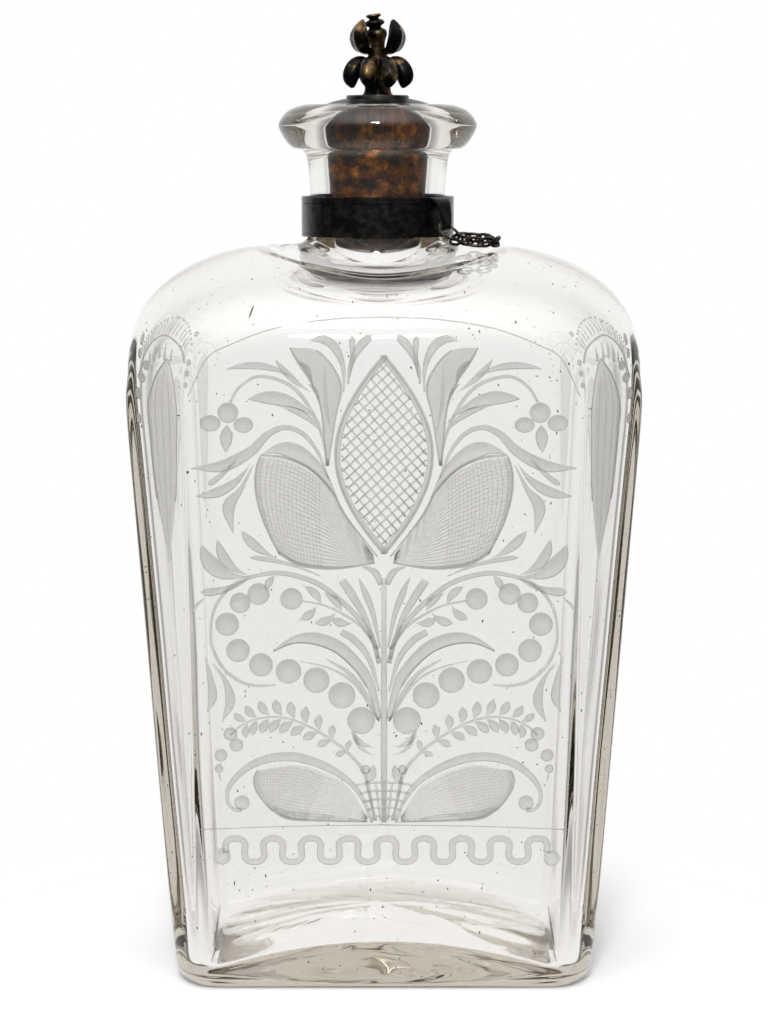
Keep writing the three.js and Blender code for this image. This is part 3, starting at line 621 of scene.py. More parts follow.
class Panel:
    """A face of the glass that takes cuts: a point at its foot, the ways across and in, its lean per mm."""

    def __init__(self, origin, across, inward, lean=(0, 0, 0), signs=MIRRORED):
        self.origin = Vector(origin)
        self.across = Vector(across).normalized()
        self.inward = Vector(inward).normalized()
        self.lean = Vector(lean)
        self.signs = signs
        self.points = []
        self.faces = []
        self.tones = []

    def on_glass(self, u, v, lift):
        start = self.origin + self.lean * v + self.across * u
        start.z = v
        start -= self.inward * RAY_START
        hit, normal, _, _ = surface.ray_cast(start * MM, self.inward)
        return hit / MM + normal * lift

    def add(self, rows, faces):
        """One closed cut: rows of u, v, lift and tone, with its faces turned outwards."""
        base = len(self.points)
        here = [self.on_glass(u, v, lift) for u, v, lift, _ in rows]
        at = np.array([tuple(p) for p in here])
        at -= at.mean(0)
        volume = 0
        for face in faces:
            for b, c in zip(face[1:-1], face[2:]):
                volume += at[face[0]] @ np.cross(at[b], at[c])
        self.points += here
        # Points lower than SHEET_TOP, on the cut's underside, take the painted light
        self.tones += [PAINTED_BACKLIGHT_TONE if lift < SHEET_TOP else tone for _, _, lift, tone in rows]
        self.faces += [tuple(i + base for i in (face if volume > 0 else face[::-1])) for face in faces]

    def ribbon(self, path, widths, tone=1.0, side=PAINTED_WALL_SHADE, signs=None, raised=0.0):
        """A cut along a path of u, v points, with one width or a width at each of its points."""
        path = np.asarray(path, float)
        ahead = unit(np.gradient(path, axis=0))
        across = np.stack([-ahead[:, 1], ahead[:, 0]], 1)
        faces = loft([np.zeros((6, 3))] * len(path))[1]
        for sign in signs or self.signs:
            rows = []
            for at, way, width in zip(path, across, np.broadcast_to(widths, len(path))):
                half = max(width / 2, 0.03)
                edge = min(CUT_EDGE, 0.45 * half)
                # The walls and rims of a cut take the painted shade, and its middle the full tone
                section = [(-half, CUT_BOTTOM, side), (-half, CUT_TOP, side), (edge - half, CUT_TOP, 1)]
                section += [(half - edge, CUT_TOP, 1), (half, CUT_TOP, side), (half, CUT_BOTTOM, side)]
                for shift, lift, shade in section:
                    u, v = at + way * shift
                    rows.append((sign * u, v, lift + raised, shade * tone))
            self.add(rows, faces)

    def bead(self, u, v, radius, stretch=1.0, tone=1.0, signs=None):
        """A round cut."""
        steps = max(10, int(radius * 9))
        # A bead's rim carries painted shade and its middle is a little lighter: painted shading of a shallow
        # hollow
        rings = [(1, CUT_BOTTOM, PAINTED_WALL_SHADE), (1, CUT_TOP, PAINTED_WALL_SHADE)]
        rings += [(1 - min(0.22 / radius, 0.4), CUT_TOP, 0.97), (0.5, CUT_TOP, 1.02)]
        faces = loft([np.zeros((steps, 3))] * len(rings))[1]
        for sign in signs or self.signs:
            rows = []
            for share, lift, shade in rings:
                for a in full_turn(steps):
                    x = sign * (u + radius * share * math.cos(a))
                    rows.append((x, v + radius * stretch * share * math.sin(a), lift, shade * tone))
            self.add(rows, faces)

    def sheet(self, grid, tone=1.0):
        """A lightly matted area: a grid of u, v points."""
        high, wide = grid.shape[:2]
        flat = grid.reshape(-1, 2)
        count = high * wide
        faces = []
        for i in range(high - 1):
            for j in range(wide - 1):
                cell = (i * wide + j, i * wide + j + 1, (i + 1) * wide + j + 1, (i + 1) * wide + j)
                faces += [cell, tuple(k + count for k in cell[::-1])]
        rim = [*range(wide), *range(2 * wide - 1, count, wide)]
        rim += [*range(count - 2, count - wide - 1, -1), *range(count - 2 * wide, 0, -wide)]
        faces += [(b, a, a + count, b + count) for a, b in zip(rim, rim[1:] + rim[:1])]
        for sign in self.signs:
            self.add([(sign * u, v, lift, tone) for lift in (SHEET_TOP, CUT_BOTTOM) for u, v in flat], faces)

    def stroke(self, points, steps=6, **looks):
        """A smooth cut through a few points of u, v and width."""
        curve = spline(points, steps)
        self.ribbon(curve[:, :2], curve[:, 2], **looks)

    def leaf(self, base, tip, width, bend=0.0, belly=0.5, **looks):
        """A pointed leaf from base to tip that bends to one side, widest at belly."""
        t, path = bent(base, tip, bend, 15)
        power = math.log(0.5) / math.log(belly)
        self.ribbon(path, width * np.sin(math.pi * t**power) ** 0.9, **looks)

    def drop(self, base, tip, width, bend=0.0, **looks):
        """A leaf with a thin start and a full round end."""
        t, path = bent(base, tip, bend, 17)
        round_end = np.sqrt(np.maximum(1 - np.maximum((t - 0.78) / 0.22, 0) ** 2, 0.002))
        self.ribbon(path, width * (0.15 + 0.85 * t**0.9) * round_end, **looks)

    def fan(self, root, upper, lower, bulge, ribs, rings):
        """A petal or leaf of fine ribs from its root, crossed by finer lines along its outer edge."""
        high, low = spline([root, *upper], 7), spline([root, *lower], 7)
        pick = np.linspace(0, 1, min(len(high), len(low)))
        high, low = sampled(high, pick), sampled(low, pick)

        def at(share, reach):
            swell = 1 + bulge * math.sin(math.pi * share) * np.square(reach)[:, None]
            line = lerp(sampled(high, reach), sampled(low, reach), share)
            return np.array(root) + (line - np.array(root)) * swell

        reach = np.linspace(0.03, 1, 16)
        self.sheet(np.stack([at(share, reach) for share in np.linspace(0, 1, 16)]), tone=1.13)
        span = np.linalg.norm(at(0, [1.0]) - at(1, [1.0])) * 1.1 / ribs
        for k in range(1, ribs):
            widths = 0.14 + 0.34 * span * np.sin(math.pi * reach**0.7)
            self.ribbon(at(k / ribs, reach), widths, tone=1.34, side=1.05)
        for k in range(rings):
            far = 0.97 - 0.5 * k / rings
            arc = np.vstack([at(share, [far]) for share in np.linspace(0.02, 0.98, 22)])
            self.ribbon(arc, 0.16, tone=lerp(0.88, 1.04, k / rings), side=1, raised=RAISED)
        # Darker lines along the outer edge and the lower side: painted shade on the cut's edges
        edge = np.vstack([at(share, [1.005]) for share in np.linspace(0, 1, 24)])
        for line in (edge, at(1, reach)):
            self.ribbon(line, 0.35, tone=0.82, side=0.9, raised=RAISED)

    def finish(self, name, material):
        geometry = np.array([tuple(p) for p in self.points]), self.faces
        obj = piece(name, geometry, material, "bottle")
        tone = obj.data.attributes.new("tone", "FLOAT_COLOR", "POINT")
        grey = np.array(self.tones)
        tone.data.foreach_set("color", np.stack([grey, grey, grey, np.ones_like(grey)], 1).ravel())


# The front: u, v and width at the points of a stroke; base, tip, width and bend of a leaf or a drop, and a
# leaf's belly; u, v, radius and stretch of a bead
LOWER_STEM = [
    (2.4, 43.5, 0.7), (4.5, 54.5, 0.8), (8.5, 60.3, 0.8), (13.5, 64.2, 0.7), (18, 67, 0.6),
    (22.5, 68.9, 0.6), (27, 69.6, 0.5), (31.5, 69, 0.5), (35, 67.4, 0.5), (37.6, 65, 0.4),
]
FRONT_STROKES = [
    LOWER_STEM,
    [(5.2, 106.8, 0.4), (3.4, 106.3, 1.1), (1.8, 105, 1.7), (0.8, 102.5, 1.2)],
    [(9.7, 149.5, 0.3), (9.7, 154.5, 0.9), (10.7, 158.3, 1.7), (12.4, 161, 2.2), (14.8, 162.3, 2),
     (17.6, 162, 0.3)],
    [(13.4, 132, 0.3), (16, 142, 0.8), (21.5, 150.4, 0.9), (29.5, 153.4, 0.8), (34.5, 151, 0.7),
     (37, 147.2, 0.6)],
    [(13.4, 128.5, 0.4), (16, 135, 0.8), (19.5, 139.4, 1.1), (23.8, 141, 1.3), (28, 139.3, 1.7),
     (32.4, 135, 2.5), (39, 131.6, 2.9), (46.6, 131, 0.2)],
    [(31.6, 131.8, 0.3), (34.6, 126, 1.2), (37.6, 121.5, 3), (36.6, 115.2, 0.2)],
    [(43.6, 99.2, 0.2), (45.4, 97.6, 0.7), (46.6, 95.6, 0.2)],
    [(1.2, 83, 1.2), (3, 89.5, 1.2), (7.5, 95.6, 1.3), (15.5, 102.4, 1.3), (24, 105.2, 1.2),
     (30.6, 104.8, 1), (36, 102.8, 0.9), (39.6, 99.4, 0.8), (41.6, 95.4, 0.7), (42.2, 91, 0.6),
     (41.8, 86.8, 0.7), (39.4, 82, 0.8), (35.4, 78.6, 0.8), (31, 77.4, 0.7), (26.6, 77.6, 0.3)],
    [(20, 98.5, 0.4), (15, 97.5, 0.5), (10.5, 95.5, 0.6), (5.5, 92, 0.7), (1.5, 86.5, 0.8)],
    [(10.2, 103.6, 1.9), (7.6, 99.6, 2), (4, 93, 1.2), (1.4, 84, 0.6)],
    [(6.2, 104.2, 0.3), (4.4, 100, 1.6), (2.6, 95, 1.2), (1, 87, 0.4)],
    [(27, 86.2, 0.2), (22, 88.8, 1.8), (17, 89.2, 3), (11.5, 87.2, 3.2), (7, 83.2, 2.8), (3.6, 78.3, 2.2),
     (1, 69, 1.2)],
    [(10.4, 90.8, 1.6), (7, 88.6, 1.8), (3.6, 84, 1.3), (1.2, 76, 0.4)],
    [(20.6, 83.6, 0.2), (13, 81.6, 0.5), (7, 77.6, 0.7), (1.2, 68.5, 0.5)],
    [(14, 84, 0.3), (8.6, 80.6, 1), (4.6, 75.6, 1), (1.6, 69, 0.5)],
    [(43.6, 84.6, 0.2), (42.4, 79, 1.5), (41.9, 74.5, 2.1), (43.2, 70.8, 0.2)],
    [(41.8, 83, 0.2), (38.8, 78.6, 1.2), (37.6, 73.5, 2.4), (39.6, 68.4, 0.2)],
    [(40.5, 55.4, 0.4), (40, 53.4, 0.2)],
    [(3, 43, 0.7), (5, 48.6, 1), (8.6, 53.4, 1.4), (14.5, 57.2, 2), (21, 59.4, 2.3), (27, 59.4, 2.2),
     (32, 57.8, 1.9), (36, 54.8, 1.5), (38.2, 51.5, 1.1), (38.4, 48.4, 0.9), (37, 46.4, 0.9),
     (35, 46.2, 1.2)],
    [(4, 43.2, 0.3), (14.5, 44.2, 1.9), (23.5, 45.2, 1.9), (27.4, 47.2, 0.4)],
]
FRONT_LEAVES = [
    ((37.9, 141.6), (38.2, 134.8), 3, 0, 0.45), ((15.2, 142), (32.8, 147.8), 3.4, 0.14, 0.66),
    ((14.6, 139), (25.4, 146.2), 1.7, 0.12, 0.6), ((17.5, 149.5), (26.2, 157.6), 1.6, -0.06, 0.6),
    ((21, 152.5), (38, 155), 1.8, 0.12, 0.6), ((32.2, 132.4), (45.6, 124.2), 2.5, -0.14, 0.62),
    ((26, 109), (34.6, 115.8), 2.4, -0.08, 0.62), ((32.6, 104.6), (44.4, 112.6), 4, -0.22, 0.62),
    ((33, 104.8), (40.4, 113.8), 2.6, -0.16, 0.6), ((26.6, 104.6), (28.6, 101), 1.8, 0.1),
    ((15.4, 97.8), (19.4, 102), 2, 0.12), ((10.4, 96), (14.6, 100.4), 2, 0.12),
    ((16.4, 97.4), (20.4, 94), 2.2, -0.12, 0.62), ((11.6, 95.6), (16.8, 93), 2.2, -0.12, 0.62),
    ((7.6, 93), (12.6, 94.2), 2.2, -0.12, 0.62), ((2, 60), (7.2, 66), 1, -0.2, 0.6),
    ((4.6, 53), (2.6, 57.6), 2.4, 0.1), ((2, 62), (8, 66.4), 1.4, -0.18, 0.6),
]
FRONT_DROPS = [
    ((8.3, 153), (7.8, 163.2), 1.7, 0.04), ((8.6, 151.5), (3, 163.3), 2.5, -0.12),
    ((35.5, 133.5), (42.6, 127), 1.7, -0.05), ((15.6, 104.6), (32.6, 109.2), 1.5, 0.05),
    ((33, 104), (44.4, 100.6), 2.5, -0.08),
]
FRONT_BEADS = [
    (37.6, 144.6, 2.5), (41.9, 142, 2.5, 0.8), (33.9, 141.6, 2.4, 0.8), (22.5, 99, 2.7), (30.5, 100.2, 2.7),
    (35, 98, 2.55), (38.2, 92.7, 2.9), (35.6, 86.2, 2.9), (30, 82.6, 2.9), (23.3, 81, 3.1),
    (16.5, 78.8, 3.2), (10.3, 75, 3.3), (5.6, 68.7, 3.4), (37.6, 65.4, 1.7), (36.2, 62.6, 1.7),
    (40, 60, 1.6), (40.5, 56.6, 1.1), (34.9, 48, 1.9), (4.6, 56.4, 1.2),
]
# A thin grey line along the crease under the shoulder: painted shade, not a cut
FRONT_CREASE_SHADE = [
    (47.2, 148.5, 0.2), (42.8, 157.4, 0.3), (37.5, 160.7, 0.3), (26.5, 164.8, 0.28), (12.7, 167, 0.26),
    (0, 167.5, 0.24),
]
TULIP_TOP = 158.5
TULIP_BOTTOM = 110
TULIP_HALF_WIDTH = 12
TULIP_STEM = [(0, 104), (0, 90), (0, 75), (0, 60), (0, 43)]
LATTICE_PITCH = 1.95
LATTICE_WIDTH = 0.42
LATTICE_INSET = 1.6
LATTICE_TURNS_DEG = (49, -43)
PETAL_ROOT = (1.3, 108)
PETAL_UPPER = [
    (6.8, 115.8), (10.1, 120.9), (12.4, 125.1), (15.4, 128.8), (18.4, 131.2), (21.6, 132.8), (25.3, 133.8),
    (29.9, 134),
]
PETAL_LOWER = [(9.2, 106.6), (15, 106.4), (20.8, 107.3), (25.4, 110)]
PETAL_CURL = [
    (29.6, 134.3, 0.3), (27, 135.4, 1.6), (24.4, 135.8, 3.2), (22, 135.3, 4), (19.4, 133.8, 3.8),
    (16.7, 131.6, 3), (14, 128.2, 1.9), (11.4, 123.6, 0.5),
]
# The darker line along the petal's upper edge: painted shade
PETAL_EDGE_SHADE = [
    (29.9, 134.2, 0.2), (25.3, 134, 0.5), (21.6, 133, 0.6), (18.4, 131.4, 0.6), (15.4, 129, 0.5),
    (12.4, 125.3, 0.5), (9, 119, 0.5), (1.6, 109.4, 0.3),
]
BROAD_LEAF_LEFT = [
    (22.6, 160.3), (21.8, 158.6), (19.9, 155.4), (18.1, 152.8), (16.1, 148.6), (14.9, 143.6), (13.9, 131.6),
]
BROAD_LEAF_RIGHT = [
    (22.6, 160.3), (17.2, 160), (13.8, 157.6), (11, 153.4), (10.2, 149.6), (11.6, 143.6), (13.5, 131.6),
]
# A darker line along the lower edge of the big scroll: painted shade of the cut's edge
SCROLL_EDGE_SHADE = [
    (27, 85.9, 0.3), (22.6, 87.8, 0.3), (17.5, 87.8, 0.3), (12, 85.8, 0.3), (7.4, 81.6, 0.3), (4.2, 77, 0.3),
]
LOW_LEAF_ROOT = (3.4, 43.2)
LOW_LEAF_UPPER = [(8.8, 51.8), (14.5, 55.4), (22, 57.6), (31, 56.2)]
LOW_LEAF_LOWER = [(14.5, 43.4), (23.5, 43.8), (27.8, 46.2)]
GROUND_LINE = [(45.4, 41.2, 0.22), (24, 42, 0.22), (0, 42.4, 0.22)]
MEANDER_PITCH = 9.3
MEANDER_TURNS = 8.5
MEANDER_RISE = 3
MEANDER_V = 36
MEANDER_WIDTH = 1.65
MEANDER_SWAY = 0.95
MEANDER_OFFSET = 0.6
MEANDER_END = 0.07 * math.pi
MEANDER_BEADS = [(39.9, 34.4, 2.1), (-41.3, 34, 2)]


def tulip_half(v, inset):
    t = (TULIP_TOP - v) / (TULIP_TOP - TULIP_BOTTOM)
    return TULIP_HALF_WIDTH * math.sin(math.pi * clamp(t)) ** 0.92 - inset


def draw_tulip(panel):
    levels = lerp(TULIP_BOTTOM, TULIP_TOP, 0.5 - 0.5 * np.cos(np.linspace(0, math.pi, 33)))
    rim = np.array([(max(tulip_half(v, 0.7), 0), v) for v in levels])
    panel.ribbon(rim, 1.5, tone=1.05, side=0.85)
    # A darker line along the rim's outer side: painted shade of the cut's edge
    outer = np.array([(max(tulip_half(v, 0.45), 0), v) for v in levels[1:-1]])
    panel.ribbon(outer, 0.35, tone=0.84, side=0.95, raised=RAISED)
    middle = (TULIP_TOP + TULIP_BOTTOM) / 2
    reach = np.linspace(-30, 30, 241)
    for turn in np.radians(LATTICE_TURNS_DEG):
        way = heading(turn)
        step = np.array([-way[1], way[0]]) * LATTICE_PITCH
        for k in range(-14, 15):
            line = np.array([0, middle]) + step * k + way * reach[:, None]
            inside = [p for p in line if abs(p[0]) < tulip_half(p[1], LATTICE_INSET)]
            if len(inside) > 6:
                path = np.linspace(inside[0], inside[-1], 6)
                panel.ribbon(path, LATTICE_WIDTH, tone=0.92, side=0.9, signs=ONCE)
    panel.fan(PETAL_ROOT, PETAL_UPPER, PETAL_LOWER, 0.12, 24, 15)
    panel.stroke(PETAL_CURL, tone=1.05)
    # A darker line along the petal's upper edge: painted shade of the cut's edge
    panel.stroke(PETAL_EDGE_SHADE, tone=0.8, raised=RAISED)
    panel.ribbon(TULIP_STEM, [1.2, 1.2, 1.5, 1.6, 1.1], signs=ONCE)


def draw_sprays(panel):
    """The broad leaf with its veins, and the scrolls, leaves, drops and beads all over the front."""
    left, right = spline(BROAD_LEAF_LEFT, 5), spline(BROAD_LEAF_RIGHT, 5)
    panel.sheet(np.stack([lerp(left, right, t) for t in np.linspace(0, 1, 9)], 1), tone=1)
    # Darker lines along the leaf's sides: painted shade on the cut's edges
    panel.ribbon(left, 0.4, tone=0.86, raised=RAISED)
    panel.ribbon(right[6:], 0.35, tone=0.94, raised=RAISED)
    panel.leaf((17.4, 152), (21.4, 157.4), 1.1, 0.16, tone=0.86, raised=RAISED)
    panel.leaf((15.8, 147.4), (18.4, 151.6), 0.9, 0.14, tone=0.88, raised=RAISED)
    panel.leaf((12.6, 140), (14, 156), 0.8, -0.05, tone=1.12, raised=RAISED)
    for points in FRONT_STROKES:
        panel.stroke(points)
    for cut in FRONT_LEAVES:
        panel.leaf(*cut)
    for cut in FRONT_DROPS:
        panel.drop(*cut)
    for cut in FRONT_BEADS:
        panel.bead(*cut)
    # Painted shade along the scroll's lower edge
    panel.stroke(SCROLL_EDGE_SHADE, tone=0.72)


def draw_lower_sprays(panel):
    """Pairs of small leaves along the lower stems, the two low leaves and the basket between them."""
    path = spline(LOWER_STEM, 12)[:, :2]
    for k in range(9):
        at = 0.24 + 0.075 * k
        here = point_at(path, at)
        ahead = point_at(path, min(at + 0.03, 1)) - here
        along = math.atan2(ahead[1], ahead[0])
        size = lerp(3.2, 5, math.sin(math.pi * k / 9) ** 0.7)
        for side, spread_deg in ((1, 58), (-1, 62)):
            turn = along - side * math.radians(spread_deg)
            tip = here + size * heading(turn)
            panel.leaf(here + 0.1 * (tip - here), tip, 0.46 * size, side * 0.1, 0.56)
    panel.fan(LOW_LEAF_ROOT, LOW_LEAF_UPPER, LOW_LEAF_LOWER, 0.09, 17, 22)
    for t in np.linspace(0, 1, 5):
        v = lerp(53, 44.6, t)
        half = lerp(7, 3.2, t)
        panel.stroke([(half, v - 0.6, 0.6), (half / 2, v, 0.6), (0, v + 0.15, 0.6)])
    for share in (0.28, 0.62):
        panel.stroke([(3 * share, 43.4, 0.5), (7.2 * share, 53, 0.6)])


def draw_border(panel):
    """The ground line, the meander below it, and a painted grey line standing in for the crease where the
    front runs out under the shoulder.
    """
    panel.stroke(GROUND_LINE, tone=0.7)
    turn = np.linspace(-MEANDER_END, 2 * math.pi * MEANDER_TURNS + MEANDER_END, 340)
    u = 0.5 * MEANDER_PITCH * MEANDER_TURNS - MEANDER_PITCH * turn / (2 * math.pi)
    u += MEANDER_SWAY * np.sin(2 * turn) - MEANDER_OFFSET
    panel.ribbon(np.stack([u, MEANDER_V + MEANDER_RISE * np.sin(turn)], 1), MEANDER_WIDTH, signs=ONCE)
    for cut in MEANDER_BEADS:
        panel.bead(*cut, signs=ONCE)
    # Painted shade along the crease under the shoulder
    panel.stroke(FRONT_CREASE_SHADE, tone=0.82)


front = Panel((0, -BASE_HALF_DEPTH, 0), (-1, 0, 0), (0, 1, 0))
draw_tulip(front)
draw_sprays(front)
draw_lower_sprays(front)
draw_border(front)
front.finish("front_engraving", FRONT_FROST)

# Corner panels: u runs from the middle of the design towards the side of the bottle
CORNER_CENTRE = 0.62
CORNER_ARCH = [
    (8, 152.4), (6.7, 154.6), (5.8, 156.9), (4.2, 159.4), (1.5, 161.9), (-1.4, 162.9), (-5, 161.4),
    (-7.2, 159.2), (-8.1, 156.4),
]
CORNER_HALO = [
    (6.4, 159.4), (5, 162), (2.8, 164.4), (0.5, 166.2), (-2.6, 167.1), (-5.5, 166.2), (-7.6, 164.1),
    (-9, 161),
]
CORNER_BEADS = [
    (6.8, 161.6, 0.8, 1.9), (7.2, 158.2, 0.75, 1.8), (4.6, 155.4, 1.35, 0.9), (6.4, 152.2, 1.4, 0.9),
    (8, 148.4, 1.1, 1.4), (8.2, 142.2, 0.9, 1.5), (-9.4, 163.4, 0.5, 1.3), (-9, 156.6, 0.5, 1.6),
    (-8.8, 154, 0.45, 1.7), (-8.6, 151.2, 0.4, 1.8),
]
CORNER_DROPS = [(3, 159, 3), (1.2, 160.6, 4.4), (-0.6, 161.2, 4), (-2.4, 161.2, 4.4), (-4.4, 160, 3.4)]
CORNER_LEAF_OUTER = [
    (-3, 157.4), (1.2, 152.8), (4.4, 146.2), (4.3, 138), (3.3, 125), (1.2, 115), (-0.6, 107),
]
CORNER_LEAF_INNER = [
    (-3, 157.4), (-4.5, 154.4), (-6, 146.3), (-5.7, 138), (-4.5, 125), (-2.4, 115), (-0.6, 107),
]


def draw_corner(panel):
    """An arch with a halo of beads and rays, drops and beads round it, and a hatched leaf below."""
    arch, halo = spline(CORNER_ARCH, 8), spline(CORNER_HALO, 8)
    panel.ribbon(arch, 0.45, tone=0.72)
    for t in np.linspace(0, 1, 22):
        panel.bead(*point_at(halo, t), 0.28, tone=0.8)
    for t in np.linspace(0.04, 0.96, 17):
        start, end = point_at(arch, 0.25 + 0.66 * t), point_at(halo, t)
        ray = np.linspace(lerp(start, end, 0.2), lerp(start, end, 0.85), 4)
        panel.ribbon(ray, [0.15, 0.3, 0.3, 0.15], tone=0.85)
    for u, v, length in CORNER_DROPS:
        panel.drop((u, v), (u + 0.3, v - length), 1, tone=0.95)
    for cut in CORNER_BEADS:
        panel.bead(*cut, tone=0.86)
    outer, inner = spline(CORNER_LEAF_OUTER, 5), spline(CORNER_LEAF_INNER, 5)
    panel.sheet(np.stack([lerp(outer, inner, t) for t in np.linspace(0, 1, 8)], 1), tone=1.25)
    # Darker lines along the leaf's edges: painted shade on the cut's edges
    panel.ribbon(outer[:22], 0.4, tone=0.74, raised=RAISED)
    panel.ribbon(inner[:22], 0.3, tone=0.86, raised=RAISED)
    for k in range(1, 8):
        line = lerp(outer, inner, k / 8)[3 + abs(k - 4):28 - 2 * abs(k - 4)]
        widths = 0.3 * np.sin(np.linspace(0.2, math.pi, len(line))) ** 0.6
        panel.ribbon(line, widths, tone=(1.04, 1.4)[k % 2], raised=RAISED)


def corner_point(width, depth, chamfer_x, chamfer_y):
    """The middle of a corner panel's design, in plan."""
    return width - CORNER_CENTRE * chamfer_x, depth - (1 - CORNER_CENTRE) * chamfer_y


FOOT_X, FOOT_Y = corner_point(BASE_HALF_WIDTH, BASE_HALF_DEPTH, BASE_CHAMFER_X, BASE_CHAMFER_Y)
HEAD_X, HEAD_Y = corner_point(TOP_HALF_WIDTH, TOP_HALF_DEPTH, TOP_CHAMFER_X, TOP_CHAMFER_Y)
for side_name, sx in (("left", -1), ("right", 1)):
    for end_name, sy in (("front", -1), ("back", 1)):
        corner = Panel(
            (sx * FOOT_X, sy * FOOT_Y, 0),
            (sx * TOP_CHAMFER_X, -sy * TOP_CHAMFER_Y, 0),
            (-sx * TOP_CHAMFER_Y, -sy * TOP_CHAMFER_X, 0),
            (sx * (HEAD_X - FOOT_X) / SHOULDER_Z, sy * (HEAD_Y - FOOT_Y) / SHOULDER_Z, 0),
            signs=ONCE,
        )
        draw_corner(corner)
        corner.finish(f"{end_name}_{side_name}_corner_engraving", FRONT_FROST if sy < 0 else BACK_FROST)

# Seeds: specks of ash and tiny bubbles in the wall of the glass, most of them in the front and back
SEED_COUNT = 1300
SEED_RADIUS = (0.08, 0.22)
SEED_DEPTH = (0.35, 1.5)
SEED_STRETCHES = (1, 1, 1.4, 2.2)
SEED_HALF_WIDTH = 62
SEED_HALF_DEPTH = 42
SEED_LEVELS = (3, 182)
BACK_AIM, SIDE_AIM, TOP_AIM = 0.5, 0.72, 0.88
AIM_START = 90
AIM_TOP = 200
STREAK_AIM = (-32, -90, 169)
STREAK_WAY = (0.32, 0.35, 0.88)
STREAK_DEPTH, STREAK_RADIUS, STREAK_STRETCH = 0.8, 0.24, 8
TALL = (1 + math.sqrt(5)) / 2
SEED_CORNERS = np.array(
    [p for a in (-1, 1) for b in (-TALL, TALL) for p in ((0, a, b), (a, b, 0), (b, 0, a))])


def seed_faces():
    """The triangles between neighbouring corners of a twenty-sided speck, turned outwards."""
    faces = []
    for face in itertools.combinations(range(len(SEED_CORNERS)), 3):
        a, b, c = SEED_CORNERS[list(face)]
        if max(np.linalg.norm(a - b), np.linalg.norm(b - c), np.linalg.norm(c - a)) < 2.1:
            faces.append(face if a @ np.cross(b, c) > 0 else face[::-1])
    return faces


def seed_shape(centre, radius, stretch, way):
    """A speck drawn out along a direction."""
    way = unit(way)
    points = SEED_CORNERS / math.hypot(1, TALL) * radius
    points += np.outer(points @ way, way) * (stretch - 1)
    return points + centre


def make_seeds():
    chance = random.Random(11)
    shapes = []
    while len(shapes) < SEED_COUNT:
        aim = chance.random()
        x, z = chance.uniform(-SEED_HALF_WIDTH, SEED_HALF_WIDTH), chance.uniform(*SEED_LEVELS)
        end = -1 if aim < BACK_AIM else 1
        start, way = (x, end * AIM_START, z), (0, -end, 0)
        if aim > SIDE_AIM:
            side = chance.choice((-1, 1))
            start = (side * AIM_START, chance.uniform(-SEED_HALF_DEPTH, SEED_HALF_DEPTH), z)
            way = (-side, 0, 0)
        if aim > TOP_AIM:
            start = (x, chance.uniform(-SEED_HALF_DEPTH, SEED_HALF_DEPTH), AIM_TOP)
            way = (0, 0, -1)
        hit, normal, _, _ = surface.ray_cast(Vector(start) * MM, Vector(way))
        if hit is None or (aim > TOP_AIM and math.hypot(x - NECK_OFFSET_X, start[1]) < LIP_RADIUS + 1):
            continue
        centre = np.array(hit / MM - normal * chance.uniform(*SEED_DEPTH))
        drawn = (chance.uniform(-0.4, 0.4), 0, 1)
        radius = lerp(*SEED_RADIUS, chance.random() ** 1.6)
        shapes.append(seed_shape(centre, radius, chance.choice(SEED_STRETCHES), drawn))
    hit, normal, _, _ = surface.ray_cast(Vector(STREAK_AIM) * MM, Vector((0, 1, 0)))
    centre = np.array(hit / MM - normal * STREAK_DEPTH)
    shapes.append(seed_shape(centre, STREAK_RADIUS, STREAK_STRETCH, STREAK_WAY))
    first = range(0, len(shapes) * len(SEED_CORNERS), len(SEED_CORNERS))
    faces = seed_faces()
    return np.vstack(shapes), [tuple(i + k for i in face) for k in first for face in faces]


piece("glass_seeds", make_seeds(), seed_material(), "bottle")

# Stopper and collar


def lathe(profile, steps, shape=even):
    """A solid turned round the stopper's axis, from a profile of radius and height."""
    angles = full_turn(steps)
    return loft([ring(max(r, 0.02) * shape(angles, z), angles, z, NECK_OFFSET_X) for r, z in profile])


def cork_geometry():
    bottom = bore_radius(CORK_BOTTOM_Z) - CORK_GAP
    top = bore_radius(CORK_TOP_Z) - CORK_GAP
    shares = np.linspace(0.02, 0.98, 60)
    profile = [(SHANK_HOLE_RADIUS, CORK_BOTTOM_Z), (bottom - CORK_EDGE, CORK_BOTTOM_Z)]
    profile += [(lerp(bottom, top, t), lerp(CORK_BOTTOM_Z, CORK_TOP_Z, t)) for t in shares]
    profile += [(top - CORK_EDGE, CORK_TOP_Z), (SHANK_HOLE_RADIUS, CORK_TOP_Z)]

    def worn(angle, z):
        pits = np.maximum(np.sin(13 * angle - 0.6 * z) * np.sin(1.3 * z), 0.4)
        wear = 1 + waves(angle, z, CORK_RIPPLES) / len(CORK_RIPPLES)
        return 1 - CORK_WEAR * wear - CORK_PITS * pits

    return turned(profile, 160, worn)


def cap_geometry():
    rim, top = CAP_Z + CAP_RIM, CAP_Z + CAP_RISE
    middle = lerp(BOSS_RADIUS, CAP_RADIUS, 0.5), lerp(rim, top, 0.62)
    profile = [(SHANK_HOLE_RADIUS, CAP_Z), (CAP_RADIUS - 0.2, CAP_Z), (CAP_RADIUS, CAP_Z + 0.2)]
    profile += [(CAP_RADIUS, rim - 0.15)]
    profile += [*spline([(CAP_RADIUS - 0.1, rim), middle, (BOSS_RADIUS + 0.5, top)], 8)]
    profile += [(SHANK_HOLE_RADIUS, top)]
    return turned(profile, 128, lambda a, z: 1 + 0.004 * math.sin(3 * a + 1) * (z > CAP_Z + 0.1))


def boss_geometry():
    seat, top = BOSS_Z - SEAT_GAP + SEAT_LIFT, BOSS_Z + BOSS_HEIGHT
    side = [(BOSS_RADIUS, seat), (BOSS_RADIUS, BOSS_Z + 0.3), (BOSS_RADIUS - 0.25, top)]
    return turned([(SHANK_HOLE_RADIUS, seat), *side, (SHANK_HOLE_RADIUS, top)], 96)


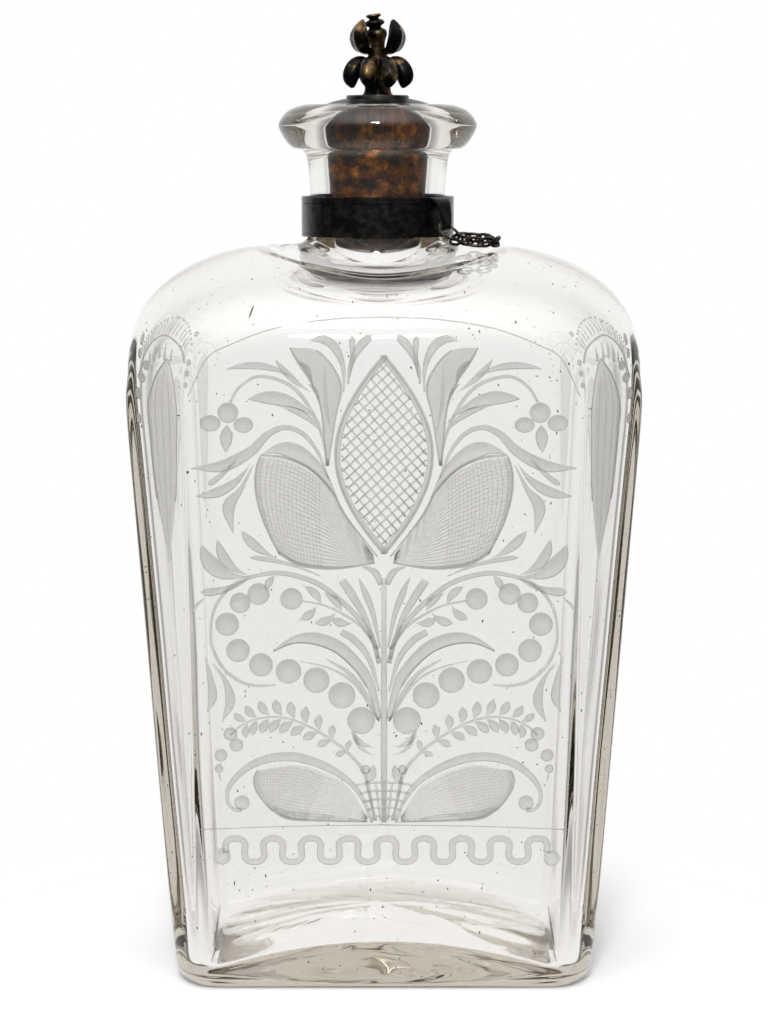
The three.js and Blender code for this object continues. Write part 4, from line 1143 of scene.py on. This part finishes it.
def stem_geometry():
    """The calyx: a ring of folded petals round a slim core, with a blind hole for the shank."""
    seat, top = STEM_Z - SEAT_GAP, STEM_Z + STEM_HEIGHT
    hole_top = STEM_Z + 0.4 * STEM_HEIGHT + SEAT_GAP
    waist = [(r * STEM_RADIUS, STEM_Z + z * STEM_HEIGHT) for r, z in [(0.9, 0.2), (1, 0.5), (0.86, 0.8)]]
    profile = [(0, hole_top), (SHANK_HOLE_RADIUS, hole_top), (SHANK_HOLE_RADIUS, seat + SEAT_LIFT)]
    profile += [*spline([(STEM_RADIUS, seat + 0.05), *waist, (CORE_RADIUS, top)], 7)]
    profile += [(r * CORE_RADIUS, top + z * CORE_HEIGHT) for r, z in [(1, 0.5), (1, 1), (0, 1)]]
    first = math.radians(LOWER_LEAF_AZIMUTHS[0] + 30)

    def folds(angle, z):
        height = (z - STEM_Z) / STEM_HEIGHT
        if not 0 < height < 0.98 or z == hole_top:
            return np.ones_like(angle)
        groove = np.maximum(np.cos(6 * (angle - first)), 0) ** 3
        rib = np.maximum(np.cos(6 * (angle - first) + math.pi), 0) ** 8
        return 1 - 0.17 * groove * math.sin(math.pi * min(height + 0.25, 1)) - 0.05 * (1 - rib)

    return lathe(profile, 144, folds)


def strip(path, azimuth, section):
    """A solid along a path of reach and height; section gives its thickness and width at each share."""
    ahead = unit(np.gradient(path, axis=0))
    out = np.array([*heading(azimuth), 0])
    across = np.array([-out[1], out[0], 0])
    rings = []
    for t, (x, z), (tx, tz) in zip(np.linspace(0, 1, len(path)), path, ahead):
        thick, wide = section(t)
        plan = np.outer(x - tz * thick, out) + np.outer(wide, across)
        rings.append(plan + np.outer(z + tx * thick, [0, 0, 1]) + NECK_SHIFT)
    return loft(rings)


def make_leaves(name, replaced, azimuths, path, width_at, thick_at, ridge):
    """Leaves of lens-shaped sections along a path, with a ridge down the middle."""
    turns = full_turn(28)
    keel = 1 - ridge + ridge * np.exp(-((np.cos(turns) / 0.3) ** 2))

    def section(t):
        return thick_at(t) / 2 * np.sin(turns) * keel, width_at(t) / 2 * np.cos(turns)

    for k, azimuth in enumerate(azimuths, 1):
        shape = strip(spline(path, 6), math.radians(azimuth), section)
        piece(f"{name}_{k}", shape, FINIAL_METAL, "stopper", f"{replaced}_{k}", 50)


def make_lower_leaves():
    shares = [(0, 0), (0.3, 0.1), (0.75, -0.09), (1, -0.56), (0.92, -1)]
    make_leaves(
        "drooping_leaf", "lower_leaf", LOWER_LEAF_AZIMUTHS,
        [(LEAF_START + x * LOWER_LEAF_REACH, LEAF_ROOT + z * LOWER_LEAF_DROP) for x, z in shares],
        lambda t: LOWER_LEAF_WIDTH * (0.24 + 0.76 * math.sin(math.pi * t**1.6) ** 0.75),
        lambda t: lerp(LEAF_EDGE, LOWER_LEAF_BELLY, math.sin(math.pi * t**2)), 0.12)


def make_upper_leaves():
    shares = [(0, 0), (0.65, 0.12), (1, 0.45), (0.9, 0.75), (0.6, 1)]
    root = LEAF_ROOT + CORE_HEIGHT - 2
    make_leaves(
        "upright_leaf", "upper_leaf", UPPER_LEAF_AZIMUTHS,
        [(LEAF_START + x * UPPER_LEAF_REACH, root + z * UPPER_LEAF_RISE) for x, z in shares],
        lambda t: UPPER_LEAF_WIDTH * (0.12 + 0.88 * math.sin(math.pi * (0.12 + 0.88 * t)) ** 0.8),
        lambda t: lerp(LEAF_EDGE, UPPER_LEAF_BELLY, math.sin(math.pi * t**1.3)), 0.5)


def bud_geometry():
    side = [
        (0.62, -0.09), (0.75, 0.12), (1, 0.3), (0.95, 0.46), (0.55, 0.58), (0.92, 0.68), (0.85, 0.78),
        (0.45, 0.85), (0.72, 0.94), (0.6, 1),
    ]
    curve = [(0, side[0][1]), *spline(side, 5), (0, 1)]
    points, faces = lathe([(r * BUD_RADIUS, z * BUD_HEIGHT) for r, z in curve], 56)
    tilt = math.radians(-BUD_TILT_DEG)
    x, y, z = (points - NECK_SHIFT).T
    foot = STEM_Z + STEM_HEIGHT + CORE_HEIGHT + SEAT_GAP + 0.6 * BUD_RADIUS * math.sin(-tilt)
    across, up = x * math.cos(tilt) + z * math.sin(tilt), z * math.cos(tilt) - x * math.sin(tilt)
    return np.stack([across, y, up + foot], 1) + NECK_SHIFT, faces


def band_geometry():
    """The band: bevelled edges, and a groove near the lower and the upper edge."""
    bevel = COLLAR_BEVEL
    high = COLLAR_HEIGHT
    outside = [
        (bevel, 0), (0, bevel), (0, 0.7), (0.14, 0.85), (0.02, 1), (0.02, high - 1.9), (0.16, high - 1.75),
        (0, high - 1.6), (0, high - bevel), (bevel, high),
    ]
    profile = [(COLLAR_INNER, bevel), (COLLAR_INNER + bevel, 0)]
    profile += [(COLLAR_OUTER - depth, z) for depth, z in outside]
    profile += [(COLLAR_INNER + bevel, high), (COLLAR_INNER, high - bevel)]
    return turned([(r, COLLAR_Z + z) for r, z in profile], 160)


def lug_geometry():
    """The strap: flat on the band's top, then out, down and curled up into an eye."""
    seat = COLLAR_OUTER + SEAT_GAP + LUG_SHEET / 2
    eye = np.array([seat + LUG_EYE_RADIUS, COLLAR_Z + 0.33 * COLLAR_HEIGHT])
    top = COLLAR_Z + COLLAR_HEIGHT
    arc = np.radians((10, -50, -110, -165))
    curl = eye + LUG_EYE_RADIUS * np.stack([np.cos(arc), np.sin(arc)], 1)
    bow = [(0, -2.6), (0, -1.2), (0.35 * LUG_STAND_OFF, -0.6), (0.8 * LUG_STAND_OFF, -2.4)]
    turns = full_turn(20)
    flat, face = [np.sign(way) * np.abs(way) ** 0.35 for way in (np.cos(turns), np.sin(turns))]

    def section(t):
        width = lerp(LUG_TOP_WIDTH, LUG_EYE_WIDTH, clamp((t - 0.25) / 0.35))
        return LUG_SHEET / 2 * face, width / 2 * flat

    return strip(spline([*[(seat + x, top + z) for x, z in bow], *curl], 8), LUG_AZIMUTH, section)


def wire_frame(name):
    """Centre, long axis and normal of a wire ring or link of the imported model."""
    points = np.array([v.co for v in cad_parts[name].data.vertices], float) / MM
    centre = points.mean(0)
    axes = np.linalg.svd(points - centre, full_matrices=False)[2]
    return centre, axes[0], axes[2]


def wire_geometry(name, radius, straight, wire, steps=56, sides=16):
    centre, along, normal = wire_frame(name)
    across = np.cross(normal, along)
    turn = full_turn(steps)
    shift = straight * np.clip(3 * np.cos(turn), -1, 1)
    path = centre + np.outer(radius * np.cos(turn) + shift, along) + np.outer(radius * np.sin(turn), across)
    ahead = unit(np.roll(path, -1, 0) - np.roll(path, 1, 0))
    spin = full_turn(sides)
    rings = []
    for p, side in zip(path, np.cross(ahead, normal)):
        rings.append(p + wire / 2 * (np.outer(np.cos(spin), side) + np.outer(np.sin(spin), normal)))
    return loft(rings, closed=True)


piece("cork_body", cork_geometry(), CORK, "stopper", "cork_stopper")
piece("cap_dome", cap_geometry(), CAP_METAL, "stopper", "cap_disc", 35)
piece("cap_disc_boss", boss_geometry(), CAP_METAL, "stopper", "cap_boss", 35)
piece("finial_calyx", stem_geometry(), FINIAL_METAL, "stopper", "finial_stem", 50)
make_lower_leaves()
make_upper_leaves()
piece("finial_bud_discs", bud_geometry(), FINIAL_METAL, "stopper", "finial_bud", 50)
piece("neck_band", band_geometry(), COLLAR_METAL, "collar", "collar_band", 35)
piece("band_lug", lug_geometry(), COLLAR_METAL, "collar", "collar_lug", 50)
ring_shape = wire_geometry("lug_ring", RING_RADIUS, 0, RING_WIRE)
piece("wire_ring", ring_shape, CHAIN_METAL, "ring", "lug_ring")
for number in range(1, LINK_COUNT + 1):
    link_node = f"chain_link_{number:02d}"
    link_shape = wire_geometry(
        link_node, (LINK_INNER_WIDTH + LINK_WIRE) / 2, (LINK_INNER_LENGTH - LINK_INNER_WIDTH) / 2, LINK_WIRE)
    piece(f"wire_link_{number:02d}", link_shape, CHAIN_METAL, f"link_{number:02d}", link_node)
for name in ("stopper_shank", "shank_washer"):
    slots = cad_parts[name].data.materials
    slots.clear()
    slots.append(FINIAL_METAL)

# Camera at the photograph's place, lamp, floor and world, in metres
CAMERA_PLACE = (0, -0.806, 0.2098)
CAMERA_DOWN_DEG = 6.7
CAMERA_LENS = 111.34
CAMERA_SENSOR = 36
LAMP_PLACE = (-0.06, -1.3, 1)
LAMP_TARGET = (0, 0, 0.1)
LAMP_SIZE = 0.25
LAMP_POWER = 14
FLOOR_RADIUS = 0.9
FLOOR_GREY = 0.82
FLOOR_FADE = (0.062, 0.15)
WHITE = (1, 1, 1, 1)

# Brightness of the room from behind the camera to behind the bottle, and of the soft light above the camera
WORLD_STOPS = (0, 0.55, 0.7, 0.83)
WORLD_LEVELS = (0.08, 0.18, 0.5, 1)
SOFT_LIGHT_WAY = (-0.06, -0.5, 0.86)
SOFT_LIGHT_LEVEL = 2.8
SOFT_LIGHT_NARROWNESS = 4
LIGHT_BOUNCES = 32
CLEAR_BOUNCES = 48


def make_camera():
    data = bpy.data.cameras.new("camera")
    data.sensor_fit = "VERTICAL"
    data.sensor_height = CAMERA_SENSOR
    data.lens = CAMERA_LENS
    camera = in_scene("camera", data)
    camera.location = CAMERA_PLACE
    camera.rotation_euler = (math.radians(90 - CAMERA_DOWN_DEG), 0, 0)
    bpy.context.scene.camera = camera


def make_lamp():
    data = bpy.data.lights.new("key_lamp", "AREA")
    data.shape = "DISK"
    data.size = LAMP_SIZE
    data.energy = LAMP_POWER
    lamp = in_scene("key_lamp", data)
    lamp.location = LAMP_PLACE
    lamp.rotation_euler = (Vector(LAMP_TARGET) - Vector(LAMP_PLACE)).to_track_quat("-Z", "Y").to_euler()


def make_floor():
    """A pale round floor that fades out beside the bottle, and shows plain white through the glass."""
    mesh = bpy.data.meshes.new("floor")
    rim = [(FLOOR_RADIUS * math.cos(a), FLOOR_RADIUS * math.sin(a), 0) for a in full_turn(96)]
    mesh.from_pydata(rim, [], [tuple(range(len(rim)))])
    material, tree, shader = new_material("pale_floor")
    reach = node(tree, "VectorMath", object_coords(tree), operation="LENGTH").outputs["Value"]
    fade = node(tree, "MapRange", reach, *FLOOR_FADE, 1, 0, interpolation_type="SMOOTHSTEP")
    grey = (FLOOR_GREY, FLOOR_GREY, FLOOR_GREY, 1)
    feed(tree, shader, Base_Color=grey, Roughness=0.8, Specular_IOR_Level=0, Alpha=fade)
    white = node(tree, "Emission", WHITE, 1)
    faded = node(tree, "MixShader", fade, node(tree, "BsdfTransparent"), white)
    through = node(tree, "LightPath").outputs["Is Transmission Ray"]
    seen = node(tree, "MixShader", through, shader, faded)
    feed(tree, tree.nodes["Material Output"], Surface=seen)
    mesh.materials.append(material)
    floor = in_scene("floor", mesh)


def make_world():
    """A room that is bright at the back, with a soft light above the camera, and that looks plain white."""
    world = bpy.data.worlds.new("studio")
    bpy.context.scene.world = world
    world.use_nodes = True
    tree = world.node_tree

    def math_node(operation, *inputs):
        return node(tree, "Math", *inputs, operation=operation)

    way = node(tree, "TexCoord").outputs["Generated"]
    depth = node(tree, "MapRange", node(tree, "SeparateXYZ", way).outputs["Y"], -1, 1)
    room = ramp(tree, depth, *[(stop, (level,) * 3) for stop, level in zip(WORLD_STOPS, WORLD_LEVELS)])
    toward = node(tree, "VectorMath", way, SOFT_LIGHT_WAY, operation="DOT_PRODUCT").outputs["Value"]
    narrow = math_node("POWER", math_node("MAXIMUM", toward, 0), SOFT_LIGHT_NARROWNESS)
    shell = tree.nodes["Background"]
    feed(tree, shell, math_node("MULTIPLY_ADD", narrow, SOFT_LIGHT_LEVEL, room), 1)
    # Light that has only passed through glass shows the plain white too.
    path = node(tree, "LightPath").outputs
    through = path["Is Transmission Ray"]
    for kind in ("Glossy Depth", "Diffuse Depth"):
        through = math_node("MULTIPLY", through, math_node("LESS_THAN", path[kind], 0.5))
    shown = math_node("MAXIMUM", path["Is Camera Ray"], through)
    mix = node(tree, "MixShader", shown, shell, node(tree, "Background", WHITE, 1))
    feed(tree, tree.nodes["World Output"], Surface=mix)


make_camera()
make_lamp()
make_floor()
make_world()
bpy.context.scene.view_settings.view_transform = "Standard"
bpy.context.scene.cycles.max_bounces = LIGHT_BOUNCES
bpy.context.scene.cycles.glossy_bounces = LIGHT_BOUNCES
bpy.context.scene.cycles.transmission_bounces = LIGHT_BOUNCES
bpy.context.scene.cycles.transparent_max_bounces = CLEAR_BOUNCES
